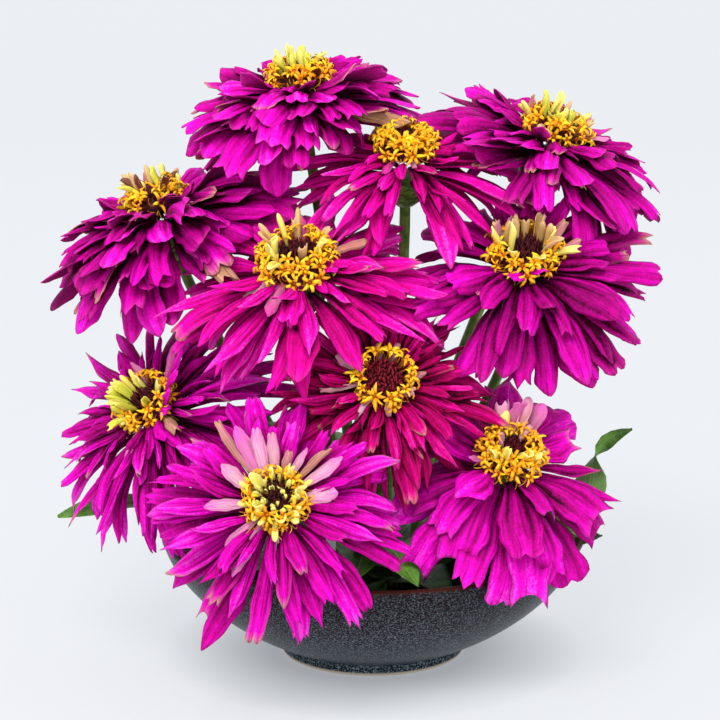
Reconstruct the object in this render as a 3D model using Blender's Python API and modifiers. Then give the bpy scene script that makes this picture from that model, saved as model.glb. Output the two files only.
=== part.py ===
# A low footed stoneware bowl of ten zinnias: the bowl, a pin holder and water in it, and for each
# flower a stem with its leaves and green cup, a whorled head of petals, and a disc of small florets.
# Driving dimensions are in millimetres; MM turns them into Blender's metres. Z is up, the flowers
# face -Y, and the bowl is turned round the Z axis until the whole part is centred at the end.

import math
import random
from collections import namedtuple

import bmesh
import bpy
from mathutils import Matrix, Vector
from mathutils.bvhtree import BVHTree

MM = 0.001
GAP = 0.3  # left between pieces that touch

# Bowl: the outer wall is one Bezier curve from the foot to the rim
BOWL_WALL = ((46, 8), (72, 16), (99, 38), (103, 60))  # its four control points, radius and height
WALL = 4.5
LIP = 1.2  # how far the rounded lip is drawn in on each side
FLOOR_RADIUS, FLOOR_HEIGHT = 44, 12.5
FOOT_RADIUS, FOOT_HEIGHT, FOOT_RING, FOOT_RECESS = 44.5, 8, 6.5, 2.5
BOWL_STEPS, WALL_STEPS = 28, 5

# Pin holder and water
HOLDER_RADIUS, HOLDER_HEIGHT, HOLDER_SIDES = 40, 8, 20
PIN_LENGTH, PIN_RADIUS, PIN_PITCH, PIN_SINK = 12, 1.3, 14.5, 1.0
WATER_LEVEL = 47
HOLLOW_SIDE, HOLLOW_TOP = 2.5, 1.0  # clear room that the water leaves round and over the pins
SLEEVE = GAP + 0.15  # clear room that it leaves round each stem

# Stems, the green cup under each head, and leaves
STEM_RADIUS = 2.7
STEM_POINTS = 8
STEM_SIDES_RESOLUTION = 1  # a six-sided tube
CUP = ((-14, 2.6), (-10, 7.4), (-4, 10.8), (-GAP, 10.2))  # height under the head, radius
CUP_RELIEF = 0.09  # how much alternate scales of the cup stand out
LEAF_SEGMENTS, LEAF_THICK = 6, 0.45

# Petals
FINE = 20  # steps along a petal's line; the blade has a ring at each of BLADE_RINGS
BLADE_RINGS = (0, 6, 11, 16, 20)
SHORT_BLADE_RINGS = (0, 7, 14, 20)  # for the inner whorls
RIDGE = 0.65  # the middle of a blade above its line
EDGE_ROLL = 0.13  # how far its edges turn down, as a share of half the width
CLEARANCE = 1.0  # kept all round a blade from other heads, discs, stems, leaves and the bowl
OWN_CLEARANCE = 0.1  # kept from the other petals of its own head
ROOT_RADIUS = 9.0
OUT_OF_CORE, OUT_OF_CROWD = 2, 5  # the fine steps from which those two clearances hold
CORE = ((0, 11.4), (13.7, 10.8))  # the solid middle that the roots stand in: height, radius
CORE_SIDES = 10
CORE_GUARD = 6  # other heads' petals stay this far out of a core

# Disc: a dome, open star florets round its edge and pale strap florets that stand on it
DISC_RADIUS, DISC_BASE, DISC_HEIGHT, DISC_SIDES = 11.6, CORE[1][0] + GAP, 7.6, 9
STARS, STAR_LENGTH, STAR_NECK, STAR_SPREAD, STAR_LEAN = 10, 9.2, 0.8, 3.0, 40
STAR_ROOT = (0.7 * DISC_RADIUS, DISC_BASE + 1.8)  # radius and height from which a star grows
STRAP_LENGTH, STRAP_THICK, STRAP_ROOT = 17, 0.8, DISC_BASE + 2.5
STRAP_PLACES = (4.2, 8.2)  # how far from the middle they stand
STRAP_SECTIONS = ((0, 1.9), (0.55, 2.2), (1, 1.5))  # share of its length, half width

# One whorl of petals: height on the core, petals, share of the reach, elevation at root and tip
Whorl = namedtuple("Whorl", "height petals share root tip")
WHORLS = (
    Whorl(2.4, 10, 1.00, -6, -68),
    Whorl(4.9, 9, 0.93, 3, -54),
    Whorl(7.3, 6, 0.78, 12, -40),
    Whorl(9.5, 5, 0.56, 22, -24),
)

# One flower: head centre, lean to the front and to the right, length and width of its outer petals,
# degrees by which they are lifted, the size of its disc, upright straps on it, where the stem stands
# and its seed
Flower = namedtuple("Flower", "name at front side reach width lift disc straps foot seed")
FLOWERS = (
    Flower("bloom_10", (-43, -103, 97), 54, -3, 57, 10.0, 14, 1.08, 5, (-12, -25), 110),
    Flower("bloom_8", (4, -60, 141), 53, 2, 52, 8.6, 12, 0.96, 0, (3, -14), 108),
    Flower("bloom_9", (59, -58, 102), 37, 15, 56, 12.5, 12, 1.06, 3, (21, -18), 119),
    Flower("bloom_5", (-33, -44, 188), 30, -8, 60, 9.4, 16, 1.18, 5, (-13, -3), 105),
    Flower("bloom_7", (-98, -27, 120), 38, -36, 63, 9.0, 10, 1.0, 5, (-29, -8), 107),
    Flower("bloom_6", (69, -30, 188), 30, 3, 60, 9.6, 14, 1.1, 5, (22, 0), 106),
    Flower("bloom_2", (15, -10, 234), 18, 0, 53, 8.8, 10, 0.92, 0, (5, 9), 102),
    Flower("bloom_4", (-98, 6, 206), 5, -20, 62, 10.4, 14, 0.96, 5, (-26, 12), 104),
    Flower("bloom_1", (-33, 12, 263), 8, -8, 52, 10.0, 20, 0.96, 5, (-9, 22), 101),
    Flower("bloom_3", (81, 18, 239), 12, 20, 59, 9.2, 14, 1.04, 4, (20, 17), 103),
)

# One leaf: its flower, where along the stem it grows, heading, length, width, rise, fall to the tip
Leaf = namedtuple("Leaf", "flower along heading length width rise fall wave")
LEAVES = (
    Leaf("bloom_6", 0.20, 2, 114, 29, 40, -14, 1.3),
    Leaf("bloom_7", 0.36, 178, 114, 30, 20, 22, 1.2),
    Leaf("bloom_8", 0.25, -82, 76, 36, 24, 26, 1.4),
    Leaf("bloom_9", 0.38, -16, 78, 26, 30, 14, 1.2),
    Leaf("bloom_10", 0.34, 206, 62, 27, 34, 30, 1.2),
    Leaf("bloom_5", 0.48, 168, 58, 20, 34, 42, 1.1),
    Leaf("bloom_3", 0.22, 48, 80, 30, 40, 52, 1.3),
    Leaf("bloom_1", 0.20, 96, 84, 32, 44, 56, 1.2),
    Leaf("bloom_4", 0.30, 150, 76, 28, 46, 50, 1.4),
    Leaf("bloom_1", 0.42, 40, 62, 22, 52, 60, 1.2),
)

COLOURS = {  # base colour (linear), roughness
    "bowl": ((0.030, 0.034, 0.044), 0.3),
    "holder": ((0.18, 0.17, 0.16), 0.45),
    "water": ((0.75, 0.82, 0.83), 0.05),
    "stem": ((0.12, 0.24, 0.06), 0.6),
    "petals": ((0.68, 0.012, 0.42), 0.5),
    "disc": ((0.80, 0.52, 0.03), 0.6),
}


# ---- small helpers ----

def new_collection(name):
    made = bpy.data.collections.new(name)
    bpy.context.scene.collection.children.link(made)
    return made


def material(name):
    if name in bpy.data.materials:
        return bpy.data.materials[name]
    colour, roughness = COLOURS[name]
    made = bpy.data.materials.new(name)
    made.use_nodes = True
    shader = made.node_tree.nodes["Principled BSDF"]
    shader.inputs["Base Color"].default_value = (*colour, 1)
    shader.inputs["Roughness"].default_value = roughness
    return made


def add_object(name, mesh, home):
    made = bpy.data.objects.new(name, mesh)
    home.objects.link(made)
    return made


def finish(obj, name, kind):
    """Gives a piece its name, its material and smooth shading over its curved faces."""
    obj.name = name
    obj.data.name = name
    obj.data.materials.clear()
    obj.data.materials.append(material(kind))
    obj.data.shade_smooth()
    obj.data.set_sharp_from_angle(angle=math.radians(40))


def from_bmesh(name, made, home):
    bmesh.ops.recalc_face_normals(made, faces=made.faces)
    mesh = bpy.data.meshes.new(name)
    made.to_mesh(mesh)
    made.free()
    return add_object(name, mesh, home)


def loft_faces(rings):
    """Triangles of a closed loft, by index. Both faces of a blade are split alike.

    A last ring of two points closes three-cornered rings in a chisel edge.
    """
    count = len(rings[0])
    faces = []
    chisel = len(rings[-1]) == 2
    for ring in range(len(rings) - 1 - chisel):
        for k in range(count):
            a, b = ring * count + k, ring * count + (k + 1) % count
            c, d = b + count, a + count
            faces += [(a, b, c), (a, c, d)] if k < count / 2 else [(a, b, d), (b, c, d)]
    last = (len(rings) - 1 - chisel) * count
    faces += [(0, k + 1, k) for k in range(1, count - 1)]
    if chisel:
        left, ridge, right, end_left, end_right = range(last, last + 5)
        faces += [(left, ridge, end_left), (ridge, end_right, end_left), (ridge, right, end_right)]
        return faces + [(left, end_left, end_right), (left, end_right, right)]
    return faces + [(last, last + k, last + k + 1) for k in range(1, count - 1)]


def loft(name, rings, home):
    made = bmesh.new()
    corners = [made.verts.new(point * MM) for ring in rings for point in ring]
    for face in loft_faces(rings):
        made.faces.new([corners[index] for index in face])
    return from_bmesh(name, made, home)


def turned(name, profile, steps, home):
    """A profile of radius and height, in millimetres, turned round Z."""
    mesh = bpy.data.meshes.new(name)
    points = [(radius * MM, 0, height * MM) for radius, height in profile]
    mesh.from_pydata(points, [(k, k + 1) for k in range(len(points) - 1)], [])
    obj = add_object(name, mesh, home)
    screw = obj.modifiers.new("Screw", "SCREW")
    screw.steps = screw.render_steps = steps
    screw.use_merge_vertices = True
    screw.merge_threshold = 0.00001
    return as_mesh(obj, home)


def as_mesh(obj, home):
    """Replaces a curve, or an object with modifiers, by the mesh that it evaluates to."""
    graph = bpy.context.evaluated_depsgraph_get()
    mesh = bpy.data.meshes.new_from_object(obj.evaluated_get(graph))
    name, matrix = obj.name, obj.matrix_world.copy()
    bpy.data.objects.remove(obj)
    made = bmesh.new()
    made.from_mesh(mesh)
    bmesh.ops.remove_doubles(made, verts=made.verts, dist=0.000002)
    made.to_mesh(mesh)
    made.free()
    result = add_object(name, mesh, home)
    result.matrix_world = matrix
    return result


def combine(obj, others, operation, home):
    """One Boolean on a collection joins the others to a piece, or cuts them from it."""
    group = new_collection("operands")
    for other in others:
        for owner in other.users_collection:
            owner.objects.unlink(other)
        group.objects.link(other)
    boolean = obj.modifiers.new("Boolean", "BOOLEAN")
    boolean.operation = operation
    boolean.operand_type = "COLLECTION"
    boolean.collection = group
    bpy.context.view_layer.update()
    result = as_mesh(obj, home)
    for other in list(group.objects):
        bpy.data.objects.remove(other)
    bpy.data.collections.remove(group)
    return result


def tube(name, points, radii, home):
    """A round tube through world points in millimetres, with a radius at each."""
    curve = bpy.data.curves.new(name, "CURVE")
    curve.dimensions = "3D"
    curve.twist_mode = "MINIMUM"
    curve.use_fill_caps = True
    curve.bevel_depth = MM
    curve.bevel_resolution = STEM_SIDES_RESOLUTION
    spline = curve.splines.new("POLY")
    spline.points.add(len(points) - 1)
    for slot, point, radius in zip(spline.points, points, radii):
        slot.co = (*(point * MM), 1)
        slot.radius = radius
    obj = add_object(name, curve, home)
    bpy.context.view_layer.update()
    return as_mesh(obj, home)


def bezier(controls, u):
    a, b, c, d = (Vector(point) for point in controls)
    v = 1 - u
    return a * v**3 + b * (3 * v * v * u) + c * (3 * v * u * u) + d * u**3


def direction(heading, rise):
    return Vector((
        math.cos(rise) * math.cos(heading),
        math.cos(rise) * math.sin(heading),
        math.sin(rise),
    ))


def tree_of(obj):
    """A search tree of a piece's faces in world space, in millimetres."""
    points = [obj.matrix_world @ vertex.co / MM for vertex in obj.data.vertices]
    return BVHTree.FromPolygons(points, [list(face.vertices) for face in obj.data.polygons])


# ---- bowl, pin holder and water ----

def wall_points(inset, lowest=0.0):
    """The wall's curve from the foot to the rim, moved in square to itself by inset."""
    points = []
    for k in range(WALL_STEPS + 1):
        u = lowest + (1 - lowest) * k / WALL_STEPS
        here = bezier([(r, z, 0) for r, z in BOWL_WALL], u)
        ahead = bezier([(r, z, 0) for r, z in BOWL_WALL], u + 0.001)
        along = (ahead - here).normalized()
        points.append((here.x - along.y * inset, here.y + along.x * inset))
    return points


def inner_wall(inset):
    """The bowl's inside from the edge of its floor up to the rim, drawn in by inset."""
    return [(r, z) for r, z in wall_points(WALL + inset) if z > FLOOR_HEIGHT + inset + 1.5]


def make_bowl(home):
    rim_radius, height = BOWL_WALL[-1]
    inside = [(0, FLOOR_HEIGHT), (FLOOR_RADIUS, FLOOR_HEIGHT)] + inner_wall(0)[:-1]
    lip = [
        (rim_radius - WALL, height - LIP),
        (rim_radius - WALL + LIP, height),
        (rim_radius - LIP, height),
        (rim_radius, height - LIP),
    ]
    outside = wall_points(0)[-2::-1]
    foot = [
        (FOOT_RADIUS, FOOT_HEIGHT - 1.5),
        (FOOT_RADIUS, 0),
        (FOOT_RADIUS - FOOT_RING, 0),
        (FOOT_RADIUS - FOOT_RING - 1, FOOT_RECESS),
        (0, FOOT_RECESS),
    ]
    bowl = turned("bowl", inside + lip + outside + foot, BOWL_STEPS, home)
    finish(bowl, "bowl", "bowl")
    return bowl


def pin_places(keep_clear):
    """Places on a triangular grid of pins, leaving out those under a stem."""
    rows = int(HOLDER_RADIUS / PIN_PITCH) + 1
    for row in range(-rows, rows + 1):
        for column in range(-rows, rows + 1):
            x = (column + 0.5 * (row % 2)) * PIN_PITCH
            y = row * PIN_PITCH * math.sqrt(3) / 2
            if math.hypot(x, y) > HOLDER_RADIUS - 4:
                continue
            if all(math.hypot(x - a, y - b) > STEM_RADIUS + PIN_RADIUS + 1 for a, b in keep_clear):
                yield x, y


def make_holder(home):
    base = FLOOR_HEIGHT + GAP
    top = base + HOLDER_HEIGHT
    side = [(0, top), (HOLDER_RADIUS, top), (HOLDER_RADIUS, base), (0, base)]
    holder = turned("holder", side, HOLDER_SIDES, home)
    pins = []
    for x, y in pin_places([flower.foot for flower in FLOWERS]):
        low = Vector((x, y, top - PIN_SINK))
        rings = []
        for height, radius in ((0, PIN_RADIUS), (PIN_LENGTH + PIN_SINK, PIN_RADIUS * 0.35)):
            turns = [math.tau * k / 3 for k in range(3)]
            rings.append([low + Vector((radius * math.cos(t), radius * math.sin(t), height)) for t in turns])
        pins.append(loft("pin", rings, home))
    holder = combine(holder, pins, "UNION", home)
    finish(holder, "pin_holder", "holder")
    return holder


def make_water(sleeves, home):
    """Water up to its level, with a hollow round the pin holder and a hole round each stem."""
    wall = inner_wall(GAP)
    side = [(r, z) for r, z in wall if z < WATER_LEVEL]
    (low_radius, low), (high_radius, high) = side[-1], wall[len(side)]
    share = (WATER_LEVEL - low) / (high - low)
    edge = (low_radius + share * (high_radius - low_radius), WATER_LEVEL)
    bottom = FLOOR_HEIGHT + GAP
    hollow_radius = HOLDER_RADIUS + HOLLOW_SIDE
    hollow_top = bottom + HOLDER_HEIGHT + PIN_LENGTH + HOLLOW_TOP
    outside = [(0, WATER_LEVEL), edge, *side[::-1], (FLOOR_RADIUS - GAP, bottom)]
    hollow = [(hollow_radius, bottom), (hollow_radius, hollow_top), (0, hollow_top)]
    water = turned("water", outside + hollow, BOWL_STEPS, home)
    water = combine(water, sleeves, "DIFFERENCE", home)
    finish(water, "water", "water")
    return water


# ---- stems, cups and leaves ----

def head_axis(flower):
    front, side = math.radians(flower.front), math.radians(flower.side)
    return Vector((math.tan(side), -math.tan(front), 1)).normalized()


def head_matrix(flower):
    """The head's own frame: its origin under the petals, Z along the flower's axis."""
    turn = Vector((0, 0, 1)).rotation_difference(head_axis(flower)).to_matrix().to_4x4()
    turn.translation = Vector(flower.at) * MM
    return turn


def stem_controls(flower):
    """A Bezier curve that leaves the holder upright and meets the head along its axis."""
    foot = Vector((*flower.foot, FLOOR_HEIGHT + GAP + HOLDER_HEIGHT + 2 * GAP))
    neck = Vector(flower.at) + head_axis(flower) * CUP[0][0]
    span = (neck - foot).length
    return foot, foot + Vector((0, 0, span * 0.38)), neck - head_axis(flower) * span * 0.36, neck


def leaf_rings(leaf, flower):
    """Rings down a leaf: a folded ovate blade on a short narrow base, its edges gently waved."""
    controls = stem_controls(flower)
    point = bezier(controls, leaf.along)
    step = leaf.length / LEAF_SEGMENTS
    rings = []
    for k in range(LEAF_SEGMENTS + 1):
        s = k / LEAF_SEGMENTS
        elevation = math.radians(leaf.rise - (leaf.rise + leaf.fall) * s**1.3)
        heading = math.radians(leaf.heading)
        along = direction(heading, elevation)
        side = Vector((-math.sin(heading), math.cos(heading), 0))
        up = along.cross(side)
        half = leaf.width / 2 * max(math.sin(math.pi * min(s**0.85, 1)), 0) ** 0.8 + 0.9 * (1 - s) + 0.2
        wave = leaf.wave * math.sin(s * 9) * min(s * 3, 1)
        fold = 0.22 * half
        rings.append([
            point - side * half + up * (fold + wave),
            point + up * LEAF_THICK,
            point + side * half + up * (fold - wave),
            point - up * LEAF_THICK,
        ])
        point = point + along * step
    return rings


def stem_line(flower):
    """Points and radii up a stem, as far as its cup."""
    controls = stem_controls(flower)
    points = [bezier(controls, k / STEM_POINTS) for k in range(STEM_POINTS)]
    radii = [STEM_RADIUS * (1.08 - 0.16 * k / STEM_POINTS) for k in range(STEM_POINTS)]
    return points, radii


def make_sleeve(flower, home):
    """What the water leaves clear round a stem."""
    points, radii = stem_line(flower)
    points[0] -= Vector((0, 0, SLEEVE))
    return tube("sleeve", points, [radius + SLEEVE for radius in radii], home)


def make_stem(flower, home):
    points, radii = stem_line(flower)
    axis = head_axis(flower)
    points += [Vector(flower.at) + axis * height for height, _ in CUP]
    radii += [radius for _, radius in CUP]
    stem = tube("stem", points, radii, home)
    relieve_cup(stem, flower)
    leaves = [
        loft("leaf", leaf_rings(leaf, flower), home)
        for leaf in LEAVES
        if leaf.flower == flower.name
    ]
    if leaves:
        stem = combine(stem, leaves, "UNION", home)
    finish(stem, flower.name + "_stem", "stem")
    return stem


def relieve_cup(stem, flower):
    """Draws alternate corners of the cup's two middle rings outwards, as overlapping scales."""
    from_head = head_matrix(flower)
    to_head = from_head.inverted()
    for vertex in stem.data.vertices:
        local = to_head @ vertex.co
        for ring, (ring_height, ring_radius) in enumerate(CUP[1:3]):
            off_height = local.z / MM - ring_height
            off_radius = math.hypot(local.x, local.y) / MM - ring_radius
            if max(abs(off_height), abs(off_radius)) > 1:
                continue
            corner = round(math.atan2(local.y, local.x) / (math.tau / 6))
            scale = 1 + (CUP_RELIEF if (corner + ring) % 2 else -CUP_RELIEF)
            vertex.co = from_head @ Vector((local.x * scale, local.y * scale, local.z))


# ---- petals ----

Petal = namedtuple("Petal", "height azimuth length root tip bend twist width rings")


def petal_rule(flower):
    """Every petal that a head would have if nothing stood in its way."""
    draw = random.Random(flower.seed)
    turn = draw.uniform(0, math.tau)
    for number, whorl in enumerate(WHORLS):
        pitch = math.tau / whorl.petals
        turn += pitch * 0.5
        for k in range(whorl.petals):
            a, b, c, d, e, f, g = (draw.uniform(-1, 1) for _ in range(7))
            yield Petal(
                height=whorl.height + 0.5 * a,
                azimuth=turn + pitch * (k + 0.2 * b),
                length=flower.reach * whorl.share * (1 + 0.09 * c),
                root=whorl.root + flower.lift * 0.4 + 5 * d,
                tip=whorl.tip + flower.lift + 13 * e,
                bend=11 * f,
                twist=16 * g,
                width=flower.width * (1 + 0.14 * d * e - 0.05 * number),
                rings=SHORT_BLADE_RINGS if number else BLADE_RINGS,
            )


def petal_line(petal):
    """Point, side and upward directions at each fine step down a petal's middle, in its head's frame."""
    heading = petal.azimuth
    point = Vector((ROOT_RADIUS * math.cos(heading), ROOT_RADIUS * math.sin(heading), petal.height))
    line = []
    for k in range(FINE + 1):
        s = k / FINE
        rise = math.radians(petal.root + (petal.tip - petal.root) * s**1.2)
        heading = petal.azimuth + math.radians(petal.bend) * s**1.5
        roll = math.radians(petal.twist) * s
        along = direction(heading, rise)
        across = Vector((-math.sin(heading), math.cos(heading), 0))
        up = along.cross(across)
        side = across * math.cos(roll) + up * math.sin(roll)
        line.append((point.copy(), side, up * math.cos(roll) - across * math.sin(roll)))
        point += along * (petal.length / FINE)
    return line


def blade_rings(petal, margin=0.0, start=0):
    """Three-cornered rings: a ridge along the top and two edges that turn down.

    With a start, the first ring is moved up to that fine step along the blade's straight faces.
    """
    line = petal_line(petal)
    rings = []
    for index in petal.rings:
        point, side, up = line[index]
        s = index / FINE
        half = petal.width / 2 * (0.3 + 0.16 * s + 0.68 * math.sin(math.pi * s**1.4)) + margin
        low = EDGE_ROLL * half + margin
        left, right = point - side * half - up * low, point + side * half - up * low
        rings.append([left, point + up * (RIDGE + margin), right])
    rings[-1] = [rings[-1][0], rings[-1][2]]
    share = start / petal.rings[1]
    rings[0] = [low.lerp(high, share) for low, high in zip(rings[0], rings[1])]
    return rings


def petal_tries(petal):
    """The petal as it would grow, then lifted, swung and at last shortened, the least change first."""
    lifts = (0, 8, -8, 16, -16, 26, -26, 38, -36, 50, 64)
    swings = (0, 9, -9, 20, -20, 32, -32, 44, -44)
    changes = [(cut, lift, swing) for cut in (1, 0.86, 0.72) for lift in lifts for swing in swings]
    changes.sort(key=lambda change: 110 * (1 - change[0]) + abs(change[1]) + 1.3 * abs(change[2]))
    for cut, lift, swing in changes:
        yield petal._replace(
            length=petal.length * cut,
            root=petal.root + 0.35 * lift,
            tip=petal.tip + lift,
            bend=petal.bend + swing,
        )


def blade_tree(petal, margin, start, matrix):
    """A search tree of the blade from a fine step on, made thicker and wider by a margin."""
    rings = blade_rings(petal, margin, start)
    points = [matrix @ (point * MM) / MM for ring in rings for point in ring]
    return BVHTree.FromPolygons(points, loft_faces(rings))


def is_clear(petal, matrix, obstacles, own):
    for share in (1, 0.5, 0):  # one alone can miss a tip that just pierces a face
        blade = blade_tree(petal, CLEARANCE * share, OUT_OF_CORE, matrix)
        if any(blade.overlap(obstacle) for obstacle in obstacles):
            return False
    slim = blade_tree(petal, OWN_CLEARANCE, OUT_OF_CROWD, matrix)
    return not any(slim.overlap(blade) for blade in own)


def make_core(flower, home, spread=0.0):
    """The cone that holds the roots, or with a spread the space round it that other heads leave."""
    (low, low_radius), (high, high_radius) = CORE
    profile = [(0, high), (high_radius + spread, high), (low_radius + spread, low), (0, low)]
    core = turned("core", profile, CORE_SIDES, home)
    core.matrix_world = head_matrix(flower)
    return core


def guard_tree(flower, home):
    guard = make_core(flower, home, CORE_GUARD)
    bpy.context.view_layer.update()
    tree = tree_of(guard)
    bpy.data.objects.remove(guard)
    return tree


def make_petals(flower, core, obstacles, home):
    """A head's petals, each bent clear of what already stands there and fused to the core."""
    matrix = head_matrix(flower)
    blades = []
    own = []
    for wanted in petal_rule(flower):
        petal = next((p for p in petal_tries(wanted) if is_clear(p, matrix, obstacles, own)), None)
        if petal:
            own.append(blade_tree(petal, OWN_CLEARANCE, OUT_OF_CROWD, matrix))
            blade = loft("petal", blade_rings(petal), home)
            blade.matrix_world = matrix
            blades.append(blade)
    print(flower.name, len(blades), "petals")
    bpy.context.view_layer.update()
    petals = combine(core, blades, "UNION", home)
    finish(petals, flower.name + "_petals", "petals")
    return petals


# ---- discs ----

def star_rings(azimuth, lean, length):
    """A three-cornered funnel that stands out of the dome."""
    out = Vector((math.cos(azimuth), math.sin(azimuth), 0))
    across = Vector((-out.y, out.x, 0))
    along = out * math.sin(lean) + Vector((0, 0, math.cos(lean)))
    up = along.cross(across)
    root = out * STAR_ROOT[0] + Vector((0, 0, STAR_ROOT[1]))
    rings = []
    for s, radius in ((0, STAR_NECK), (1, STAR_SPREAD)):
        corners = [math.tau * k / 3 for k in range(3)]
        rings.append([
            root + along * (length * s) + across * (radius * math.cos(t)) + up * (radius * math.sin(t))
            for t in corners
        ])
    return rings


def strap_rings(azimuth, radius, lean, curl, length):
    """A narrow upright floret, three-cornered in section, curling as it rises."""
    out = Vector((math.cos(azimuth), math.sin(azimuth), 0))
    across = Vector((-out.y, out.x, 0))
    point = out * radius + Vector((0, 0, STRAP_ROOT))
    rings = []
    for s, half in STRAP_SECTIONS:
        angle = lean + curl * s
        along = out * math.sin(angle) + Vector((0, 0, math.cos(angle)))
        up = along.cross(across)
        here = point + along * (length * s)
        rings.append([here - across * half, here + up * STRAP_THICK, here + across * half])
    return rings


def make_disc(flower, home):
    """A dome of florets: open stars round its edge, and pale straps standing on it."""
    draw = random.Random(flower.seed + 1000)
    top = DISC_BASE + DISC_HEIGHT
    dome = [(0, top), (STAR_ROOT[0], top - 1.4), (DISC_RADIUS, DISC_BASE + 2.6), (DISC_RADIUS, DISC_BASE)]
    disc = turned("disc", dome + [(0, DISC_BASE)], DISC_SIDES, home)
    florets = []
    for k in range(STARS):
        azimuth = math.tau * (k + 0.15 * draw.uniform(-1, 1)) / STARS
        lean = math.radians(STAR_LEAN + 10 * draw.uniform(-1, 1))
        florets.append(loft("star", star_rings(azimuth, lean, STAR_LENGTH * draw.uniform(0.85, 1.1)), home))
    for k in range(flower.straps):
        azimuth = math.tau * (k + 0.3 * draw.uniform(-1, 1)) / flower.straps
        lean, curl = math.radians(8 + 14 * draw.random()), math.radians(30 * draw.uniform(-0.4, 1))
        length = STRAP_LENGTH * draw.uniform(0.75, 1.1)
        rings = strap_rings(azimuth, draw.uniform(*STRAP_PLACES), lean, curl, length)
        florets.append(loft("strap", rings, home))
    disc = combine(disc, florets, "UNION", home)
    disc.data.transform(Matrix.Diagonal((flower.disc, flower.disc, 1, 1)))
    disc.matrix_world = head_matrix(flower)
    finish(disc, flower.name + "_disc", "disc")
    return disc


# ---- the whole ----

def centre_on_origin(pieces):
    """Moves every piece so that the middle of the whole part's base is the origin."""
    bpy.context.view_layer.update()
    corners = [obj.matrix_world @ vertex.co for obj in pieces for vertex in obj.data.vertices]
    shift = Vector((
        (min(c.x for c in corners) + max(c.x for c in corners)) / 2,
        (min(c.y for c in corners) + max(c.y for c in corners)) / 2,
        min(c.z for c in corners),
    ))
    for obj in pieces:
        obj.location -= shift
    print("moved by", [round(v * 1000, 2) for v in shift], "mm")


def main():
    for obj in list(bpy.data.objects):
        bpy.data.objects.remove(obj)
    home = new_collection("zinnia_bowl")
    bowl = make_bowl(home)
    holder = make_holder(home)
    stems = {flower.name: make_stem(flower, home) for flower in FLOWERS}
    water = make_water([make_sleeve(flower, home) for flower in FLOWERS], home)
    discs = {flower.name: make_disc(flower, home) for flower in FLOWERS}
    cores = {flower.name: make_core(flower, home) for flower in FLOWERS}
    bpy.context.view_layer.update()
    fixed = [tree_of(obj) for obj in (bowl, water, *stems.values(), *discs.values())]
    guards = {flower.name: guard_tree(flower, home) for flower in FLOWERS}
    heads = []
    placed = []
    for flower in FLOWERS:
        others = [guard for name, guard in guards.items() if name != flower.name]
        head = make_petals(flower, cores[flower.name], fixed + others + placed, home)
        bpy.context.view_layer.update()
        placed.append(tree_of(head))
        heads.append(head)
    centre_on_origin([bowl, holder, water, *stems.values(), *discs.values(), *heads])
    bpy.context.view_layer.update()


main()
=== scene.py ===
import itertools
import math
import random
from functools import partial
from types import SimpleNamespace

import bpy
import numpy as np
from mathutils import Matrix, Vector
from mathutils.bvhtree import BVHTree


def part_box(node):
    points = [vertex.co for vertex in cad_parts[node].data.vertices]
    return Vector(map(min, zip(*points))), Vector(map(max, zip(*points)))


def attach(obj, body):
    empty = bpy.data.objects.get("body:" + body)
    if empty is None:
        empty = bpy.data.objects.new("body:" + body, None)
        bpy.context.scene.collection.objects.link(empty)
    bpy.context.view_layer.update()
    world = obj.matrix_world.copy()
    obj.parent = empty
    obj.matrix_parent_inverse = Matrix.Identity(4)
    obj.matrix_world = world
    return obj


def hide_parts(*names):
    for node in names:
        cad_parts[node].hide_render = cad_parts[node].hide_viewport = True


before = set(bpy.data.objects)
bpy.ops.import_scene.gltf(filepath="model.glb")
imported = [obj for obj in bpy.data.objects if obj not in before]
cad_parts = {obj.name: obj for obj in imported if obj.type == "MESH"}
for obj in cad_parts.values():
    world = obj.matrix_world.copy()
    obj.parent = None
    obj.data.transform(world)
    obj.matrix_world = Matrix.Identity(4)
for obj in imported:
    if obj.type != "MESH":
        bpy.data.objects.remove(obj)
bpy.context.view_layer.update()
mm = 0.001
bowlLow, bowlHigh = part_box("bowl")
bowlAxis = Vector(((bowlLow.x + bowlHigh.x) / 2, (bowlLow.y + bowlHigh.y) / 2, 0))
home = bpy.context.scene.collection


# Small helpers: colour, nodes, meshes

def linear(hexColour):
    # sRGB hex to the linear colour that shaders take
    parts = [int(hexColour[k:k + 2], 16) / 255 for k in (1, 3, 5)]
    return (*[c / 12.92 if c <= 0.04045 else ((c + 0.055) / 1.055) ** 2.4 for c in parts], 1.0)


def feed(tree, node, inputs):
    # Inputs by name or in their order; each takes a value, a hex colour or the socket of another node
    for name, value in inputs.items() if isinstance(inputs, dict) else enumerate(inputs):
        if isinstance(value, bpy.types.NodeSocket):
            tree.links.new(value, node.inputs[name])
        else:
            node.inputs[name].default_value = linear(value) if isinstance(value, str) else value


def addNode(tree, kind, inputs=(), stops=(), out=0, **settings):
    # One node with its settings and links, seen as the socket it gives
    node = tree.nodes.new("ShaderNode" + kind)
    for name, value in settings.items():
        setattr(node, name, value)
    feed(tree, node, inputs)
    while 2 < len(stops) > len(node.color_ramp.elements):
        node.color_ramp.elements.new(0.5)
    for element, (place, colour) in zip(node.color_ramp.elements if stops else (), stops):
        element.position, element.color = place, linear(colour)
    return node.outputs[out]


def newMaterial(name):
    # A material and the function that adds its nodes
    material = bpy.data.materials.new(name)
    material.use_nodes = True
    return material, partial(addNode, material.node_tree)


def finished(material, values, bump=None):
    # The material with its shader's inputs, and with a fine relief: its height, strength and depth
    tree = material.node_tree
    if bump:
        values["Normal"] = addNode(tree, "Bump", dict(zip(("Height", "Strength", "Distance"), bump)))
    feed(tree, tree.nodes["Principled BSDF"], values)
    return material


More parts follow.
